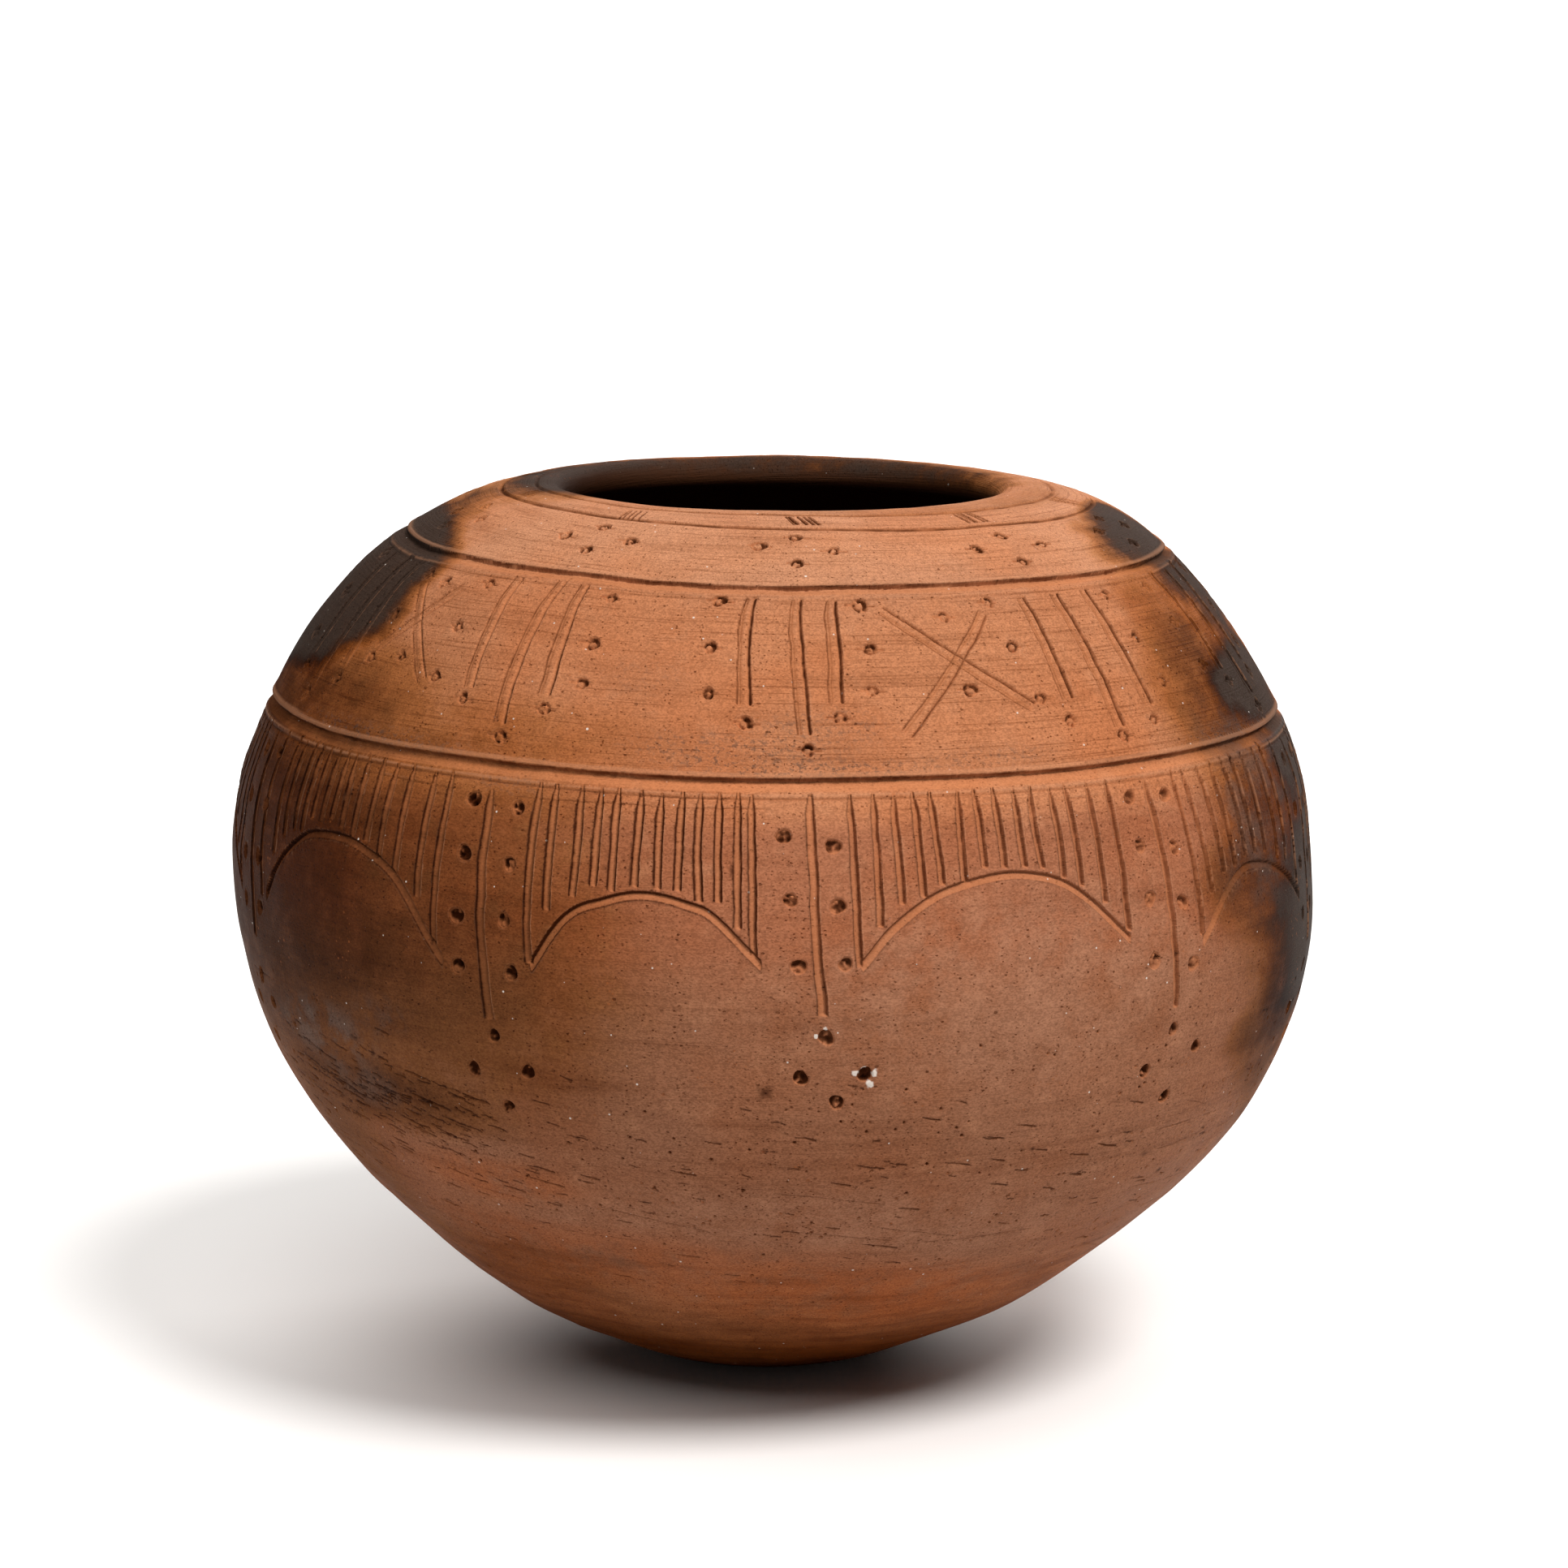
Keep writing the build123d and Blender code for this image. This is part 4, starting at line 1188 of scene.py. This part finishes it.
def pieceShape(piece):
    low, high = riseOf[piece["from"]], riseOf[piece["to"]]
    used, own = np.unique(faces[(faceRise > low) & (faceRise < high)], return_inverse=True)
    innerTurn, innerRun, innerPoints, innerFaces = innerPatch(innerJoint(piece["from"]),
                                                              innerJoint(piece["to"]))
    start = len(used)
    turns, points = np.r_[turn[used], innerTurn], np.r_[outerPoints[used], innerPoints]
    normals = np.r_[outerNormals[used], pointNormals(innerPoints, innerFaces)]
    heights = np.r_[rise[used], innerRun]
    strips = [(own.reshape(-1, 3), "outside"), (innerFaces + start, "inside")]
    innerSpan = innerRun.min(), innerRun.max()
    for joint, at, innerAt, band in ((piece["from"], low, innerSpan[0], "lower"),
                                     (piece["to"], high, innerSpan[1], "upper")):
        top = band == "upper"
        outerRing = np.where(np.abs(rise[used] - at) < 1e-6)[0]
        innerRing = start + np.where(np.abs(innerRun - innerAt) < 1e-6)[0]
        if joint == "foot":  # the foot and the floor inside close on their middles
            footRing = outerRing[np.argsort(turns[outerRing])][::-1]
            for ring, level, run, facing, disc in ((footRing, 0.0, at, -1, "foot"),
                                                   (innerRing, clay["floor"], innerAt, 1, "floor")):
                points = np.r_[points, [[bent["shift"][0], 0, level]]]
                normals = np.r_[normals, [[0, 0, facing]]]
                turns, heights = np.r_[turns, 0], np.r_[heights, run]
                strips.append((np.c_[ring, np.roll(ring, -1), np.full(len(ring), len(points) - 1)], disc))
        elif joint == "throat":
            strips.append((ringFaces(outerRing, turns[outerRing], innerRing, turns[innerRing], top), "lower"))
        else:
            lapTurn, lapPoints = lapRing(joint)
            lap = len(points) + np.arange(len(lapTurn))
            points, turns = np.r_[points, lapPoints], np.r_[turns, lapTurn]
            normals = np.r_[normals, normals[innerRing]]
            heights = np.r_[heights, np.full(len(lap), innerAt)]
            strips.append((ringFaces(outerRing, turns[outerRing], lap, lapTurn, top), band))
            strips.append((ringFaces(lap, lapTurn, innerRing, turns[innerRing], top), band))
    return {"points": points, "normals": normals, "turns": turns, "heights": heights, "used": used,
            "corners": np.concatenate([strip for strip, band in strips]),
            "band": np.concatenate([np.full(len(strip), bands[band]) for strip, band in strips]),
            "span": (low, high), "innerSpan": innerSpan}


def pieceMesh(name, shape):
    corners, used = shape["corners"], shape["used"]
    mesh = bpy.data.meshes.new(name)
    mesh.vertices.add(len(shape["points"]))
    mesh.vertices.foreach_set("co", (shape["points"] * mm).ravel())
    mesh.loops.add(corners.size)
    mesh.loops.foreach_set("vertex_index", corners.ravel().astype(np.int32))
    mesh.polygons.add(len(corners))
    mesh.polygons.foreach_set("loop_start", np.arange(0, corners.size, 3, dtype=np.int32))
    mesh.polygons.foreach_set("use_smooth", np.ones(len(corners), bool))
    mesh.update(calc_edges=True)
    mesh.normals_split_custom_set_from_vertices(shape["normals"])
    extra = len(shape["points"]) - len(used)
    inner = {"drawn": shape["heights"][len(used):], "inside": np.ones(extra)}
    for mark, values in outerMarks.items():
        data = np.r_[values[used], inner.get(mark, np.zeros(extra))]
        mesh.attributes.new(mark, "FLOAT", "POINT").data.foreach_set("value", data.astype(np.float32))
    return mesh


def unroll(mesh, shape):
    # map for baking: outside, inside and each bevel have a band of their own, the two middles a disc each
    corners, band, heights = shape["corners"], shape["band"][:, None], shape["heights"][shape["corners"]]
    margin = math.radians(bakeMap["margin"])
    faceTurn = shape["turns"][corners]
    faceTurn = faceTurn[:, :1] + wrapTurn(faceTurn - faceTurn[:, :1])
    across = (faceTurn + math.pi + margin) / (2 * math.pi + 2 * margin)
    onInner = (corners >= len(shape["used"])).astype(float)
    shares = {"lower": onInner, "upper": onInner}
    for side, (low, high) in (("outside", shape["span"]), ("inside", shape["innerSpan"])):
        shares[side] = (heights - low) / (high - low)
    up = np.zeros_like(across)
    for side, share in shares.items():
        up = np.where(band == bands[side], bakeMap[side][0] + bakeMap[side][1] * share, up)
    disc, spot = band >= bands["floor"], shape["points"][corners] * bakeMap["discScale"]
    middle = bakeMap["discAcross"][1] * (band - bands["floor"]) + bakeMap["discAcross"][0]
    across = np.where(disc, middle + spot[:, :, 0], across)
    up = np.where(disc, bakeMap["discUp"] + spot[:, :, 1], up)
    unrolled = mesh.uv_layers.new(name="OFBake")
    unrolled.data.foreach_set("uv", np.stack([across, up], -1).ravel().astype(np.float32))


def placed(name, data):
    made = bpy.data.objects.new(name, data)
    bpy.context.scene.collection.objects.link(made)
    return made


def makePiece(name, piece):
    shape = pieceShape(piece)
    mesh = pieceMesh(name, shape)
    unroll(mesh, shape)
    made = placed(name, mesh)
    mesh.materials.append(materials[piece["slot"]])
    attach(made, "root")
    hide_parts(piece["node"])
    print("piece made:", name, len(shape["points"]), "points,", len(shape["corners"]), "faces")


for pieceName, piece in pieces.items():
    makePiece(pieceName, piece)


# Stage: a white floor lit past white by three soft lights, with hardly any light from elsewhere
stage = {"floorSize": 60.0, "white": (0.95, 0.93, 0.905, 1), "bounce": (0.70, 0.70, 0.70, 1),
         "surround": 0.07, "mirrored": 0.10}
lights = {  # azimuth, elevation, how wide the light looks from the pot, strength
    "key": {"azimuth": 43.0, "elevation": 53.5, "width": 21.0, "strength": 2.62},
    "fill": {"azimuth": -26.0, "elevation": 58.0, "width": 47.0, "strength": 1.48},
    "back": {"azimuth": 162.0, "elevation": 32.0, "width": 48.0, "strength": 2.26},
}


def floorPlane():
    half = stage["floorSize"] / 2
    mesh = bpy.data.meshes.new("studioFloor")
    corners = [(-half, -half, 0), (half, -half, 0), (half, half, 0), (-half, half, 0)]
    mesh.from_pydata(corners, [], [(0, 1, 2, 3)])
    floor = placed("studioFloor", mesh)
    material = bpy.data.materials.new("floorPaper")
    material.use_nodes = True
    tree = material.node_tree
    start = Wire(tree)
    bounced = start.node("ShaderNodeLightPath", output="Is Diffuse Ray")
    paper = start.tint(bounced, stage["white"], stage["bounce"])
    surface = tree.nodes["Principled BSDF"]
    paper.into(surface, "Base Color")
    surface.inputs["Roughness"].default_value = 1.0
    surface.inputs["Specular IOR Level"].default_value = 0.0
    mesh.materials.append(material)


def whiteRoom():
    world = bpy.data.worlds.new("whiteRoom")
    bpy.context.scene.world = world
    world.use_nodes = True
    tree = world.node_tree
    start = Wire(tree)
    seen = start.node("ShaderNodeLightPath", output="Is Camera Ray")
    mirrored = start.node("ShaderNodeLightPath", output="Is Glossy Ray")
    through = start.node("ShaderNodeLightPath", output="Is Transmission Ray")
    direct = start.sum("MAXIMUM", start.sum("MAXIMUM", seen, mirrored * stage["mirrored"]), through)
    strength = stage["surround"] + direct * (1 - stage["surround"])
    background = tree.nodes["Background"]
    background.inputs["Color"].default_value = (1, 1, 1, 1)
    strength.into(background, "Strength")


def softLight(name, light):
    lamp = bpy.data.lights.new(name, "SUN")
    lamp.energy = light["strength"]
    lamp.angle = math.radians(light["width"])
    made = placed(name, lamp)
    made.rotation_euler = (math.radians(90 - light["elevation"]), 0, math.radians(light["azimuth"]))


photoCamera = {"place": (3.4, -1350.0, 401.3), "pitch": 10.09, "lens": 112.9, "sensor": 36.0}


def placeCamera():
    data = bpy.data.cameras.new("photoCamera")
    data.lens = photoCamera["lens"]
    data.sensor_width = photoCamera["sensor"]
    data.sensor_fit = "HORIZONTAL"
    data.clip_end = 100
    camera = placed("photoCamera", data)
    camera.location = [value * mm for value in photoCamera["place"]]
    camera.rotation_euler = (math.radians(90 - photoCamera["pitch"]), 0, 0)
    bpy.context.scene.camera = camera


floorPlane()
whiteRoom()
for lightName, light in lights.items():
    softLight(lightName, light)
placeCamera()
bpy.context.scene.view_settings.view_transform = "Standard"
print("stage set:", len(lights), "lights, camera pitched", photoCamera["pitch"])
